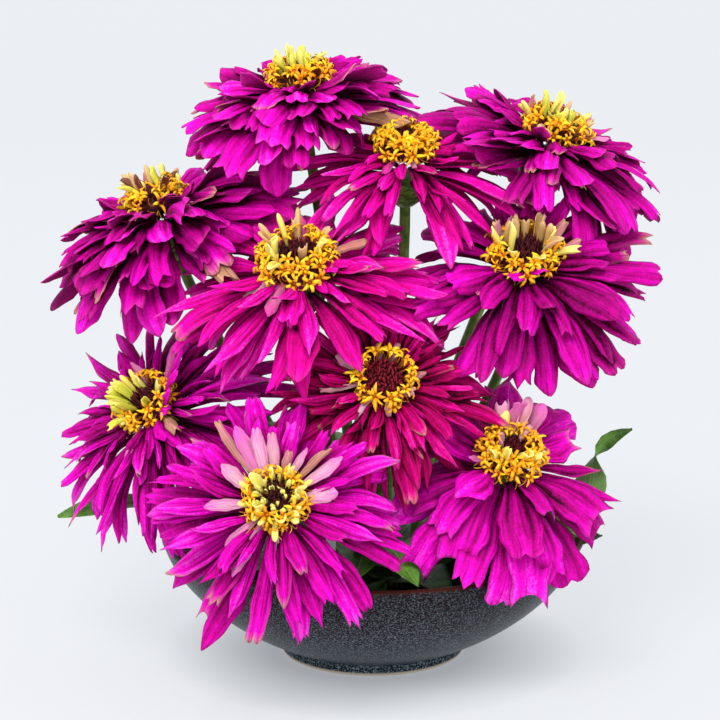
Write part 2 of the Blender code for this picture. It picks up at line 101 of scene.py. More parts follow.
def notesOf(add):
    # What varies over a mesh: its tone notes, and the places along it and out from its middle line
    tone = add("Attribute", attribute_name="tone").node.outputs
    note = add("SeparateColor", (tone["Color"],)).node.outputs
    place = add("UVMap", uv_map="surfaceMap")
    axes = add("SeparateXYZ", (place,)).node.outputs
    return SimpleNamespace(red=note[0], green=note[1], blue=note[2], alpha=tone["Alpha"], place=place,
                           along=axes["Y"], aside=apart(add, axes["X"], 0.5))


def apart(add, value, other):
    return add("Math", (add("Math", (value, other), operation="SUBTRACT"),), operation="ABSOLUTE")


def summed(add, total, *parts):
    # A value with others added to it, each by its own share
    for value, share in parts:
        total = add("Math", (value, share, total), operation="MULTIPLY_ADD")
    return total


def layered(add, colour, *layers):
    # Colours laid over a first one in turn, each by its own share
    for share, over in layers:
        colour = add("Mix", {0: share, 6: colour, 7: over}, out=2, data_type="RGBA")
    return colour


def soft(weight, reach, depth):
    # Light that goes a little way through wet tissue
    return {"Subsurface Weight": weight, "Subsurface Radius": reach, "Subsurface Scale": depth}


def addObject(name, data):
    thing = bpy.data.objects.new(name, data)
    home.objects.link(thing)
    return thing


def addMesh(name, points, faces, material):
    mesh = bpy.data.meshes.new(name)
    mesh.from_pydata(points, [], faces)
    mesh.materials.append(material)
    mesh.shade_smooth()
    return addObject(name, mesh)


class MeshParts:
    # Gathers many small closed shapes, with their colour notes, into one mesh
    def __init__(self):
        self.points, self.faces, self.maps, self.tones, self.count = [], [], [], [], 0

    def add(self, points, faces, uv=None, tone=(0, 0, 0, 0)):
        size = len(points)
        self.points.append(np.asarray(points, float))
        self.faces += [tuple(index + self.count for index in face) for face in faces]
        self.maps.append(np.zeros((size, 2)) if uv is None else np.asarray(uv, float))
        self.tones.append(np.zeros((size, 4)) + tone)
        self.count += size

    def build(self, name, material, matrix, slot, node):
        # The mesh, in metres, as one piece of the dressed part in the place of a node
        points = placed(np.concatenate(self.points), matrix) * mm
        piece = addMesh(name, points.tolist(), self.faces, material)
        mesh = piece.data
        corners = np.empty(len(mesh.loops), np.int32)
        mesh.loops.foreach_get("vertex_index", corners)
        layer = mesh.uv_layers.new(name="surfaceMap")
        layer.data.foreach_set("uv", np.concatenate(self.maps)[corners].ravel())
        tones = mesh.attributes.new("tone", "FLOAT_COLOR", "POINT")
        tones.data.foreach_set("color", np.concatenate(self.tones).ravel())
        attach(piece, "root")
        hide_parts(node)
        print(f"  {name}: {sum(len(face) - 2 for face in self.faces)} triangles")


def placed(points, matrix):
    # Points in millimetres, moved by a matrix whose own place is in metres
    turn = np.array(matrix)
    return points @ turn[:3, :3].T + turn[:3, 3] / mm


def gridShell(top, bottom):
    # Faces of a thin closed sheet: a grid of points above, one below and a rim between them
    rows, columns = top.shape[:2]
    under = rows * columns
    faces = []
    for a in [r * columns + c for r in range(rows - 1) for c in range(columns - 1)]:
        faces.append((a, a + columns, a + columns + 1, a + 1))
        faces.append((under + a, under + a + 1, under + a + columns + 1, under + a + columns))
    rim = [*range(columns), *range(2 * columns - 1, under, columns),
           *range(under - 2, under - columns - 1, -1), *range(under - 2 * columns, 0, -columns)]
    for a, b in zip(rim, rim[1:] + rim[:1]):
        faces.append((a, b, under + b, under + a))
    return np.concatenate([top.reshape(-1, 3), bottom.reshape(-1, 3)]), faces


def sheetGrid(rows, columns):
    # Places on a sheet: s from 0 to 1 with its rows and t from -1 to 1 with its columns
    return np.meshgrid(np.linspace(0, 1, rows), np.linspace(-1, 1, columns), indexing="ij")


def bothSides(s, t):
    uv = np.stack([t / 2 + 0.5, s], -1).reshape(-1, 2)
    return np.concatenate([uv, uv])


def bentSheet(line, s, x, z):
    # Points at s along a line, x to its side and z above it; past its end the line goes straight on
    points, within = line[0], np.clip(s, 0, 1)
    steps = np.linspace(0, 1, len(points))

    def along(array):
        return np.stack([np.interp(within, steps, values) for values in array.T], -1)

    middle, side, up = map(along, line)
    end = (points[-1] - points[-2]) * (len(points) - 1)
    return middle + (s - within)[..., None] * end + side * x[..., None] + up * z[..., None]


def sheetNormals(grid):
    normal = np.cross(np.gradient(grid, axis=0), np.gradient(grid, axis=1))
    return normal / np.maximum(np.linalg.norm(normal, axis=2, keepdims=True), 1e-9)


def thinShell(grid, thick):
    return gridShell(grid, grid - sheetNormals(grid) * thick)


def tubeShape(points, radii, sides, ripple=lambda j, k: 0):
    # Points and faces of a closed round tube through points; ripple gives the change of radius round it
    points = [Vector(p) for p in points]
    across = (points[1] - points[0]).orthogonal()
    rings = []
    for k, point in enumerate(points):
        ahead = (points[min(k + 1, len(points) - 1)] - points[max(k - 1, 0)]).normalized()
        across = (across - ahead * across.dot(ahead)).normalized()
        other = ahead.cross(across)
        for j in range(sides):
            t = math.tau * j / sides
            out = across * math.cos(t) + other * math.sin(t)
            rings.append(tuple(point + out * (radii[k] * (1 + ripple(j, k)))))
    faces = []
    for k, j in itertools.product(range(0, len(rings) - sides, sides), range(sides)):
        a, b = k + j, k + (j + 1) % sides
        faces.append((a, b, b + sides, a + sides))
    faces += [tuple(range(sides - 1, -1, -1)), tuple(range(len(rings) - sides, len(rings)))]
    return rings, faces


def latheShape(profile, sides):
    # A profile of radius and height turned round Z; a radius of 0 closes it with one point
    points, rows, faces = [], [], []
    for radius, height in profile:
        count = sides if radius else 1
        rows.append([len(points) + j % count for j in range(sides)])
        points += [(radius * math.cos(math.tau * j / sides), radius * math.sin(math.tau * j / sides), height)
                   for j in range(count)]
    for (low, high), j in itertools.product(zip(rows, rows[1:]), range(sides)):
        k = (j + 1) % sides
        face = tuple(dict.fromkeys((low[j], low[k], high[k], high[j])))
        if len(face) > 2:
            faces.append(face)
    return points, faces


def bezier(controls, u):
    a, b, c, d = (Vector(point) for point in controls)
    v = 1 - u
    return a * v**3 + b * (3 * v * v * u) + c * (3 * v * u * u) + d * u**3


def direction(heading, rise):
    return Vector((math.cos(rise) * math.cos(heading), math.cos(rise) * math.sin(heading), math.sin(rise)))


# The flowers: where each head stands and how it is made, the same rules as the solid model's

def table(keys, rows):
    # Rows by number, each with its values under their keys
    return {number: SimpleNamespace(number=number, **dict(zip(keys.split(), row)))
            for number, row in rows.items()}


# at and foot: mm from the bowl's axis; front and side: its lean to the front and the right, degrees
# reach and width: of the petals, mm; lift: how far they are raised, degrees; disc: its size; straps: how many
flowers = table("at front side reach width lift disc straps foot seed", {
    10: ((-43, -103, 97), 54, -3, 57, 10.0, 14, 1.08, 5, (-12, -25), 110),
    8: ((4, -60, 141), 53, 2, 52, 8.6, 12, 0.96, 0, (3, -14), 108),
    9: ((59, -58, 102), 37, 15, 56, 12.5, 12, 1.06, 3, (21, -18), 119),
    5: ((-33, -44, 188), 30, -8, 60, 9.4, 16, 1.18, 5, (-13, -3), 105),
    7: ((-98, -27, 120), 38, -36, 63, 9.0, 10, 1.0, 5, (-29, -8), 107),
    6: ((69, -30, 188), 30, 3, 60, 9.6, 14, 1.1, 5, (22, 0), 106),
    2: ((15, -10, 234), 18, 0, 53, 8.8, 10, 0.92, 0, (5, 9), 102),
    4: ((-98, 6, 206), 5, -20, 62, 10.4, 14, 0.96, 5, (-26, 12), 104),
    1: ((-33, 12, 263), 8, -8, 52, 10.0, 20, 0.96, 5, (-9, 22), 101),
    3: ((81, 18, 239), 12, 20, 59, 9.2, 14, 1.04, 4, (20, 17), 103),
})

# what each kind of draw adds to a flower's seed; florets are drawn as the solid's
seedSteps = {"floret": 1000, "disc": 2000, "stem": 3000, "petal": 4000, "between": 5000}


def drawsOf(flower, kind):
    return random.Random(flower.seed + seedSteps[kind])


def headAxis(flower):
    front, side = math.radians(flower.front), math.radians(flower.side)
    return Vector((math.tan(side), -math.tan(front), 1)).normalized()


def headMatrix(flower):
    turn = Vector((0, 0, 1)).rotation_difference(headAxis(flower)).to_matrix().to_4x4()
    turn.translation = Vector(flower.at) * mm + bowlAxis
    return turn


# Petals

petalRule = {
    # rows of petals, the solid's own first: height, how many, share of the reach, root and tip angle
    "whorls": ((2.4, 10, 1.00, -6, -68), (4.9, 9, 0.93, 3, -54), (7.3, 6, 0.78, 12, -40),
               (9.5, 5, 0.56, 22, -24)),
    "fillers": ((0.6, 11, 0.86, -18, -80), (1.8, 10, 0.93, -10, -70), (3.6, 10, 0.97, -3, -62),
                (5.6, 10, 0.90, 5, -54), (7.2, 10, 0.78, 9, -46), (8.6, 10, 0.66, 13, -36),
                (10.0, 9, 0.54, 18, -26), (11.2, 8, 0.44, 22, -14), (12.4, 6, 0.34, 28, -4)),
    # more rows for the densest heads
    "shingles": ((2.7, 12, 0.78, -6, -66), (4.8, 12, 0.82, 0, -60), (6.6, 12, 0.68, 8, -52),
                 (8.2, 11, 0.6, 12, -42), (10.6, 10, 0.42, 16, -30), (12.0, 9, 0.34, 18, -20)),
    "fine": 20,  # steps along a petal's line
    "root": 9.0,  # where it leaves the middle
    "ridge": 0.65,
    "edgeRoll": 0.13,
    "rows": 17,
    "columns": 9,
    "thick": 0.32,  # mm
    "channel": 0.47,  # the two lengthwise channels lie this share of the way to the edge
    # painted shade that neighbouring petals cast: how near they count, the rays' lean and how much darker
    "near": 13.0,  # mm within which neighbours darken a petal
    "fan": (0.3, 1.56, 2.81, 4.07, 5.33),  # radians round a petal's normal to which rays lean
    "paintedShadeDepth": 1.15,  # by how much of the tone
    "match": (0.02, 1.0),  # mm off the solid: near enough, and too far to be one of its petals
}


def halfShare(s):
    # A petal's outline: narrow at the root, widest past the middle, half as wide at the tip
    return 0.3 + 0.16 * s + 0.68 * np.sin(np.pi * np.clip(s, 0, 1) ** 1.4)


def wantedPetals(flower, whorls, seed, wild=1.0):
    # The petals in turn; wild widens the draws that don't shape the solid's own petals
    draw = random.Random(seed)
    turn = draw.uniform(0, math.tau)
    for number, (height, count, share, root, tip) in enumerate(whorls):
        pitch = math.tau / count
        turn += pitch * 0.5
        for k in range(count):
            a, b, c, d, e, f, g = (draw.uniform(-1, 1) for _ in range(7))
            yield dict(
                height=height + 0.5 * a,
                azimuth=turn + pitch * (k + 0.2 * b * wild),
                length=flower.reach * share * (1 + 0.09 * c * wild),
                root=root + flower.lift * 0.4 + 5 * d * wild,
                tip=tip + flower.lift + 13 * e * wild,
                bend=11 * f * wild,
                twist=16 * g * wild,
                width=flower.width * (1 + 0.14 * d * e - 0.05 * number),
                whorl=number,
            )


# changes tried until a petal fits, the least first: share of its length, lift and swing in degrees
petalChanges = sorted(itertools.product(
    (1, 0.86, 0.72), (0, 8, -8, 16, -16, 26, -26, 38, -36, 50, 64), (0, 9, -9, 20, -20, 32, -32, 44, -44),
), key=lambda change: 110 * (1 - change[0]) + abs(change[1]) + 1.3 * abs(change[2]))


def changedPetal(petal, cut, lift, swing):
    return {**petal, "length": petal["length"] * cut, "root": petal["root"] + 0.35 * lift,
            "tip": petal["tip"] + lift, "bend": petal["bend"] + swing}


def petalLine(petal):
    # Points, side and upward directions at each fine step, in the head's frame, as arrays
    fine, root = petalRule["fine"], petalRule["root"]
    s = np.arange(fine + 1) / fine
    rise = np.radians(petal["root"] + (petal["tip"] - petal["root"]) * s**1.2)
    heading = petal["azimuth"] + np.radians(petal["bend"]) * s**1.5
    roll = np.radians(petal["twist"]) * s
    along = np.stack([np.cos(rise) * np.cos(heading), np.cos(rise) * np.sin(heading), np.sin(rise)], 1)
    across = np.stack([-np.sin(heading), np.cos(heading), np.zeros_like(heading)], 1)
    up = np.cross(along, across)
    start = np.array([root * math.cos(petal["azimuth"]), root * math.sin(petal["azimuth"]), petal["height"]])
    points = start + np.concatenate([np.zeros((1, 3)), np.cumsum(along[:-1], 0)]) * (petal["length"] / fine)
    cosine, sine = np.cos(roll)[:, None], np.sin(roll)[:, None]
    return points, across * cosine + up * sine, up * cosine - across * sine


def coarseBlade(petal, margin, steps):
    # The solid model's three-cornered blade, in a few rings
    picked = np.array(steps)
    points, side, up = (array[picked] for array in petalLine(petal))
    half = (petal["width"] / 2 * halfShare(picked / petalRule["fine"]) + margin)[:, None]
    low = petalRule["edgeRoll"] * half + margin
    shifts = (-side * half - up * low, up * (petalRule["ridge"] + margin), side * half - up * low)
    corners = np.stack([points + shift for shift in shifts], 1).reshape(-1, 3)
    last = len(corners) - 3
    faces = [(0, 1, 2), (last, last + 2, last + 1)]
    for ring in range(0, last, 3):
        for k in range(3):
            a, b = ring + k, ring + (k + 1) % 3
            faces += [(a, b, b + 3), (a, b + 3, a + 3)]
    return corners, faces


def bladeTree(petal, margin, matrix, steps=(5, 9, 13, 17, 20)):
    corners, faces = coarseBlade(petal, margin, steps)
    return BVHTree.FromPolygons(placed(corners, matrix).tolist(), faces)


def nodeTree(name):
    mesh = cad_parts[name].data
    faces = [tuple(face.vertices) for face in mesh.polygons]
    return BVHTree.FromPolygons([vertex.co / mm for vertex in mesh.vertices], faces)


def petalAsBuilt(petal, tree, matrix):
    # The change under which the petal lies on the solid model's own petals, or None where it has none
    best, (near, far) = None, petalRule["match"]
    for change in petalChanges:
        tried = changedPetal(petal, *change)
        corners, _ = coarseBlade(tried, 0, (11, 16) if petal["whorl"] == 0 else (7, 14))
        points = placed(corners[[0, 2, 3, 5]], matrix)
        off = sum(tree.find_nearest(Vector(p))[3] for p in points) / len(points)
        if best is None or off < best[0]:
            best = (off, tried)
        if off < near:
            break
    return best[1] if best[0] < far else None


def tipLength(kind, t):
    # How far each lengthwise line of a petal reaches, which makes its end pointed, toothed, horned or round
    if kind == "pointed":
        return 1.05 - 0.24 * np.abs(t) ** 1.3
    if kind == "toothed":
        return 0.955 + 0.045 * np.cos(2 * np.pi * t) - 0.04 * t**4
    if kind == "horned":
        return 0.91 + 0.11 * t**2
    if kind == "notched":
        return 0.97 - 0.055 * np.cos(np.pi * t) ** 4 * (1 - t**2) - 0.06 * t**4
    return 1.0 - 0.13 * t**2


def finePetal(petal, look):
    # Points, faces, map and tones of one petal: a thin closed sheet, folded, curled and toothed
    reach, t = sheetGrid(petalRule["rows"], petalRule["columns"])
    reach = reach**0.92
    s = reach * (1 + (tipLength(look["tip"], t) - 1) * reach**4)
    within, aside, side, phase = np.clip(s, 0, 1), np.abs(t), np.sign(t), look["phase"]
    half = np.maximum(halfShare(s), look["square"] * np.clip(3 * s - 0.9, 0, 1))
    half = half * petal["width"] / 2 * look["broad"]
    if look["tip"] == "pointed":
        half = half * (1 - 0.66 * np.clip((s - 0.7) / 0.35, 0, 1) ** 1.5)
    elif look["tip"] == "rounded":
        half = half * np.sqrt(np.clip(1 - 0.75 * np.clip((s - 0.8) / 0.22, 0, 1) ** 2, 0.05, 1))
    curl = look["curl"] + look["tipCurl"] * s**3
    curl = np.where(np.abs(curl) < 0.05, 0.05, curl)
    ragged = 0.05 * np.sin(16 * s + 2 * side + 4 * phase) + 0.03 * np.sin(27 * s - 3 * side + 7 * phase)
    x = np.sin(curl * t) / curl * half * (1 + ragged * aside**2 * np.clip(4 * s - 1, 0, 1.4))
    z = -(1 - np.cos(curl * t)) / curl * half + petalRule["ridge"]
    channel = np.exp(-(((aside - petalRule["channel"]) / 0.17) ** 2))
    channel *= (0.35 + 0.65 * np.sin(np.pi * within**0.8)) * (1 + 0.35 * np.sin(5 * s + 2 * side + phase))
    z += look["fold"] * (0.5 * np.exp(-((t / 0.2) ** 2)) - channel)
    z += look["tipRise"] * np.clip((s - 0.55) / 0.45, 0, 1.1) ** 2
    z += look["ruffle"] * s * t**2 * np.where(t < 0, np.sin(9 * s + phase), np.sin(8 * s + 2.2 * phase))
    x += 0.05 * half * np.sin(7 * s + 3 * phase) + look["sway"] * np.sin(np.pi * within**1.3)
    z += 0.16 * np.sin(13 * s + 5 * t + phase) + 0.12 * np.sin(21 * s - 7 * t + 2 * phase)
    turn = look["turn"] * s**1.5
    x, z = x * np.cos(turn) - z * np.sin(turn), x * np.sin(turn) + z * np.cos(turn)
    thin = petalRule["thick"] * (1 - 0.55 * aside**3)[..., None]
    vertices, faces = thinShell(bentSheet(petalLine(petal), s, x, z), thin)
    dry = look["dry"] + look["dryTip"] * (np.clip((reach - 0.9) / 0.1, 0, 1) ** 1.5
                                          + 0.5 * aside**8 * np.clip((s - 0.6) / 0.3, 0, 1))
    # painted shade and light on top of the petal's own tone: darker in the two lengthwise channels and near
    # the root, lighter towards the tip
    light = look["tone"] - 0.6 * channel + 0.2 * s - 0.35 * (1 - within) ** 4
    above = np.stack([light, 0 * s, np.clip(dry, 0, 1), look["pale"] * (1 - 0.4 * s)], -1).reshape(-1, 4)
    below = above + (0, 1 - look["pale"], 0, 0)
    return vertices, faces, bothSides(s, t), np.concatenate([above, below])


def paintNeighbourShade(parts):
    # Painted shade: petals are painted darker where their neighbours press close, as if in their shade; short
    # rays count what is near
    rows, columns, near = petalRule["rows"], petalRule["columns"], petalRule["near"]
    whole = BVHTree.FromPolygons(np.concatenate(parts.points).tolist(), parts.faces)
    fan = [(0, 0, 1)] + [(0.82 * math.cos(a), 0.82 * math.sin(a), 0.57) for a in petalRule["fan"]]
    for points, tones in zip(parts.points, parts.tones):
        for face, outward in ((slice(0, rows * columns), 1), (slice(rows * columns, None), -1)):
            grid = points[face].reshape(rows, columns, 3)
            normals = sheetNormals(grid) * outward
            shut = np.zeros(((rows + 1) // 2, (columns + 1) // 2))  # at every other point
            for r, c in np.ndindex(shut.shape):
                up = Vector(normals[2 * r, 2 * c])
                across = up.orthogonal().normalized()
                other = up.cross(across)
                start = Vector(grid[2 * r, 2 * c]) + up * 0.5
                for x, y, z in fan:
                    distance = whole.ray_cast(start, across * x + other * y + up * z, near)[3]
                    if distance is not None:
                        shut[r, c] += (1 - distance / near) / len(fan)
            full = np.zeros((rows, columns))
            full[::2, ::2] = shut
            full[::2, 1::2] = (shut[:, 1:] + shut[:, :-1]) / 2
            full[1::2] = (full[2::2] + full[:-1:2]) / 2
            # painted shade: the petal's tone is darkened by the share closed in by neighbours
            tones[face, 0] -= petalRule["paintedShadeDepth"] * full.ravel()


# tips: kinds by how often each is drawn; dryTips: share with tan tips; brown: share wholly dried
# curl: how far the edges turn down, radians; shade: how light; broad: width against the solid's
# square: how broad the ends are; fill: share of the petals between that are tried
petalLooks = table("tips dryTips brown curl shade broad square fill", {
    1: ("rrrrnnt", 0.12, 0.01, (0.35, 0.95), 0.57, (1.15, 1.5), (0.92, 1.12), 0.75),
    2: ("ppnrr", 0.08, 0.01, (0.6, 1.6), 0.62, (0.8, 1.05), (0.5, 0.85), 0.45),
    3: ("rrrnnt", 0.12, 0.02, (0.35, 0.95), 0.51, (1.15, 1.5), (0.92, 1.12), 0.7),
    4: ("rrrrnt", 0.12, 0.02, (0.3, 1.0), 0.52, (1.2, 1.6), (0.95, 1.15), 0.85),
    5: ("pprnnt", 0.08, 0.0, (0.4, 1.1), 0.76, (0.95, 1.25), (0.6, 0.95), 0.5),
    6: ("rrrnnt", 0.12, 0.0, (0.5, 1.3), 0.38, (1.1, 1.45), (0.8, 1.0), 0.6),
    7: ("pprnr", 0.14, 0.02, (0.7, 1.7), 0.66, (0.8, 1.1), (0.55, 0.85), 0.7),
    8: ("ppnrt", 0.2, 0.0, (0.6, 1.7), 0.70, (0.85, 1.1), (0.5, 0.85), 0.75),
    9: ("hhtpn", 0.08, 0.0, (0.2, 0.7), 0.58, (1.15, 1.45), (0.85, 1.1), 0.2),
    10: ("nnprth", 0.14, 0.0, (0.4, 1.0), 0.70, (0.72, 0.98), (0.65, 0.95), 0.6),
})
gaps = {9: (-20, 45)}  # azimuths left free for petals of their own
tipKinds = {"r": "rounded", "n": "notched", "t": "toothed", "p": "pointed", "h": "horned"}


accents = {
    # petals that stand apart: azimuth, length, root and tip angle, width, paleness, dryness; those with a
    # kind of tip are full petals, the others short inner ones
    1: ((20, 14, 40, 60, 5, 0, 0), (170, 26, 12, 0, 5, 0, 0.7), (8, 26, 15, 4, 5, 0, 0.3)),
    2: ((285, 10, 20, -20, 4, 0.8, 0), (240, 14, 10, -30, 5, 0.1, 0)),
    3: ((175, 18, 60, 80, 5, 0.3, 0.7), (30, 17, 60, 60, 5, 0.7, 0.2), (8, 20, 30, 10, 5, 0.8, 0),
        (330, 27, 12, -12, 11, 0.3, 0.75), (140, 14, 50, 60, 5, 0.6, 0.3)),
    4: ((100, 17, 60, 72, 6, 0, 0.85), (186, 24, 15, 8, 5, 0, 0.6), (60, 14, 50, 60, 5, 0.2, 0.6)),
    5: ((18, 26, 20, -5, 9, 0, 0.75), (75, 18, 60, 70, 5, 0.1, 0.2), (300, 16, 15, -25, 5, 0, 0),
        (340, 22, 40, -20, 8, 0, 0), (322, 17, 46, -10, 6, 0, 0), (215, 22, 8, -25, 6, 0.7, 0.1),
        (240, 24, 6, -30, 7, 0.3, 0), (268, 26, 4, -34, 8, 0, 0)),
    6: ((150, 19, 66, 76, 6, 0.8, 0.3), (128, 19, 74, 84, 5, 0.9, 0.1), (62, 19, 66, 66, 5, 0.9, 0.1),
        (36, 21, 45, 35, 7, 0.3, 0.7), (14, 20, 30, 25, 6, 0.3, 0.6), (290, 15, 60, 10, 7, 0, 0),
        (255, 16, 50, -10, 8, 0, 0)),
    7: ((300, 24, 25, -5, 10, 0, 0.85), (235, 20, 10, -20, 5, 0.7, 0), (80, 19, 65, 75, 5, 0.75, 0.1),
        (330, 19, 70, 15, 9, 0, 0), (352, 24, 66, 10, 8, 0, 0), (12, 27, 52, 12, 7, 0, 0),
        (310, 15, 64, -10, 8, 0, 0), (285, 20, 30, -30, 9, 0, 0), (262, 22, 20, -35, 8, 0, 0),
        (30, 26, 45, 20, 6, 0.2, 0.1)),
    8: ((150, 17, 20, 0, 6, 0.9, 0.1), (186, 21, 8, -5, 5, 0.8, 0.3), (280, 9, 20, 0, 4, 1, 0.2),
        (100, 11, 50, 20, 4, 1, 0.2), (235, 14, 5, -10, 5, 1, 0.1), (330, 12, 50, 60, 5, 1, 0.2),
        (318, 10, 60, 90, 5, 1, 0.3), (70, 12, 40, 20, 4, 0.8, 0.2), (10, 12, 20, 30, 4, 0.7, 0.5)),
    9: ((95, 27, 76, 86, 7, 0.4, 0.1), (62, 24, 50, 45, 8, 0.5, 0.1), (200, 12, 20, 10, 4, 0.5, 0),
        (33, 28, 12, -2, 15, 0, 0, "h"), (8, 35, 4, -8, 6.5, 0, 0, "p"), (-8, 44, 2, -12, 10, 0, 0, "p")),
    10: ((108, 27, 30, 20, 7, 0.85, 0), (90, 24, 38, 30, 6, 0.95, 0.2), (72, 17, 45, 35, 6, 0.5, 0.6),
         (58, 20, 35, 25, 4, 0.9, 0), (30, 27, 18, 6, 6, 0.85, 0), (6, 19, 12, 0, 8, 0.85, 0),
         (150, 21, 25, 15, 7, 1, 0.1), (182, 23, 10, 5, 6, 0.75, 0), (222, 21, 5, -15, 5, 0.6, 0),
         (238, 30, 5, -15, 6, 0.5, 0), (268, 21, 0, -20, 5, 1, 0), (44, 26, 30, 10, 6, 0.3, 0.8),
         (128, 38, 18, 4, 6, 0.3, 0.7), (120, 30, 26, 14, 7, 0.45, 0)),
}


def petalLook(flower, draw):
    look = petalLooks[flower.number]
    dried = draw.random() < look.brown
    return dict(
        tip=tipKinds[draw.choice(look.tips)],
        broad=1.2 * draw.uniform(*look.broad),
        square=draw.uniform(*look.square),
        curl=draw.uniform(*look.curl) + dried,
        tipCurl=draw.uniform(-0.5, 0.35) if look.square[0] > 0.6 else draw.uniform(-0.3, 1.0),
        tipRise=draw.uniform(-5, 3.5),
        sway=draw.uniform(-2.2, 2.2),
        turn=draw.uniform(-0.7, 0.7),
        fold=draw.uniform(0.5, 1.0),
        ruffle=draw.uniform(0.3, 1.4),
        phase=draw.uniform(0, math.tau),
        tone=min(1, max(0, look.shade + draw.uniform(-0.3, 0.34))),
        dry=draw.uniform(0.75, 1) if dried else 0,
        dryTip=draw.uniform(0.4, 1) if draw.random() < look.dryTips else draw.uniform(0, 0.08),
        pale=0,
    )


# Discs: a dark middle of chaff, golden star florets, curled styles and pale strap florets

discRule = {
    "radius": 11.6,
    "base": 14.0,
    "height": 7.6,
    "chaff": 150,  # pointed scales in the middle
    "stars": 10,  # as many as the solid has; the rest stand between them
    "moreStars": 42,
    "starLength": 9.2,
    "lean": 40,
    "rings": ((0.95, 66), (0.8, 44), (0.66, 24)),  # share of the radius and lean of the stars between
    "styles": 70,
    "strapLength": 17,
    "strapRoot": 16.5,
    "strapDeeper": 2,  # mm, by which the fine straps start below the solid's
    "strapPlaces": (4.2, 8.2),
}

strapRows = {
    # rows of straps beyond the solid's: how many, radius, lean, length, first and last azimuth, width share
    1: ((9, 6, 4, 14, 0, 360, 0.9),),
    2: (),
    3: ((8, 5, 8, 15, 0, 360, 0.9), (3, 8, 36, 14, 150, 260, 0.9)),
    4: ((8, 6, 8, 15, 60, 260, 0.9), (3, 8.5, 30, 13, -10, 60, 1.0)),
    5: ((5, 7, 6, 18, 70, 230, 1.0), (2, 8, 20, 14, 20, 90, 0.8)),
    6: ((5, 7, 10, 19, 110, 220, 1.0), (5, 7.5, 22, 17, -20, 70, 1.05)),
    7: ((9, 6, 8, 17, 80, 250, 0.9), (7, 8, 26, 15, 100, 230, 0.9)),
    8: (),
    9: ((5, 4.5, 12, 15, 40, 320, 1.1), (2, 7.5, 12, 19, 60, 140, 1.5)),
    10: ((9, 2.6, 10, 8, 0, 360, 0.7), (13, 4.4, 24, 10.5, 0, 360, 0.85), (9, 6.2, 46, 10.5, 150, 400, 0.9)),
}
# tones: the straps' colours, by how often each is drawn; buds: share of them still rolled shut
# stars: how full the golden ring is; centre: how red the chaff is; spread: how wide the ring stands
discLooks = table("tones buds stars centre spread", {
    1: ("lime lime pale pale", 0.6, 0.5, 0.3, 0.95),
    2: ("pale", 0, 1.15, 0.2, 0.93),
    3: ("lime lime pale tan", 0.5, 0.6, 0.3, 0.95),
    4: ("lime pale brown tan", 0.5, 0.5, 0.3, 0.88),
    5: ("pale pale pale tan", 0.5, 1.0, 0.3, 1.05),
    6: ("tan pale pale pink tan", 0.3, 0.7, 0.3, 0.95),
    7: ("lime pale lime", 0.6, 0.5, 0.3, 0.9),
    8: ("tan", 0, 0.3, 0.9, 0.86),
    9: ("pale pink pale", 0.4, 1.0, 0.4, 0.84),
    10: ("pale", 0.8, 0.4, 0.3, 0.7),
})
strapTones = {"lime": 0.0, "pale": 0.25, "tan": 0.5, "pink": 0.75, "brown": 1.0}


goldenAngle = math.pi * (3 - math.sqrt(5))


def domeHeight(radius):
    edge = discRule["radius"]
    profile = ((0, discRule["height"]), (0.7 * edge, discRule["height"] - 1.4), (edge, 2.6), (edge + 0.1, 0))
    return discRule["base"] + float(np.interp(radius, *zip(*profile)))


def discEdge(flower):
    return discRule["radius"] * flower.disc * discLooks[flower.number].spread


def addChaff(parts, flower, draw):
    reach = 0.8 * discRule["radius"]
    for k in range(discRule["chaff"]):
        radius = reach * math.sqrt((k + 0.5) / discRule["chaff"])
        azimuth = goldenAngle * k + draw.uniform(-0.1, 0.1)
        out = direction(azimuth, 0)
        root = out * radius * flower.disc + Vector((0, 0, domeHeight(radius) - 0.6))
        lean = out * draw.uniform(-0.35, 0.25) + Vector((0, 0, 1))
        lean += direction(azimuth + math.pi / 2, 0) * draw.uniform(-0.3, 0.3)
        lean *= draw.uniform(3.0, 5.0) * (1.1 - 0.35 * radius / reach)
        shape = tubeShape([root, root + lean * 0.55, root + lean], (0.62, 0.5, 0.06), 4)
        parts.add(*shape, tone=(discLooks[flower.number].centre + draw.uniform(-0.3, 0.3), 0, 0, 0))


def addStar(parts, root, axis, length, draw):
    # One open floret: a tube that widens into five slim lobes, which arch out and curl back
    axis = axis.normalized()
    across = axis.orthogonal().normalized()
    other = axis.cross(across)
    size = draw.uniform(1.1, 1.75)
    tube = [root + axis * length * share for share in (0, 0.55, 0.8)]
    parts.add(*tubeShape(tube, (0.45, 0.6, 0.95 * size), 5), tone=(draw.uniform(0, 0.5), 0.25, 0, 0))
    turn = draw.uniform(0, math.tau)
    for k in range(5):
        t = turn + math.tau * k / 5 + draw.uniform(-0.2, 0.2)
        out = across * math.cos(t) + other * math.sin(t)
        sideways = axis.cross(out)
        bend, reach = draw.uniform(1.2, 3.4), draw.uniform(0.75, 1.35) * size
        centre, angle, rows = root + axis * length * 0.78 + out * 0.75 * size, math.radians(62), []
        for half in (0.5, 0.52, 0.42, 0.1):
            ridge = (axis * (0.25 + 0.1 * math.cos(angle)) - out * 0.1 * math.sin(angle)) * size
            rows.append([centre - sideways * half * size, centre + ridge, centre + sideways * half * size])
            centre = centre + (out * math.cos(angle) + axis * math.sin(angle)) * 1.05 * reach
            angle -= bend / 2.2
        top = np.array(rows)
        parts.add(*gridShell(top, top - np.array(axis) * 0.25), tone=(draw.uniform(0.1, 1), 1, 0, 0))


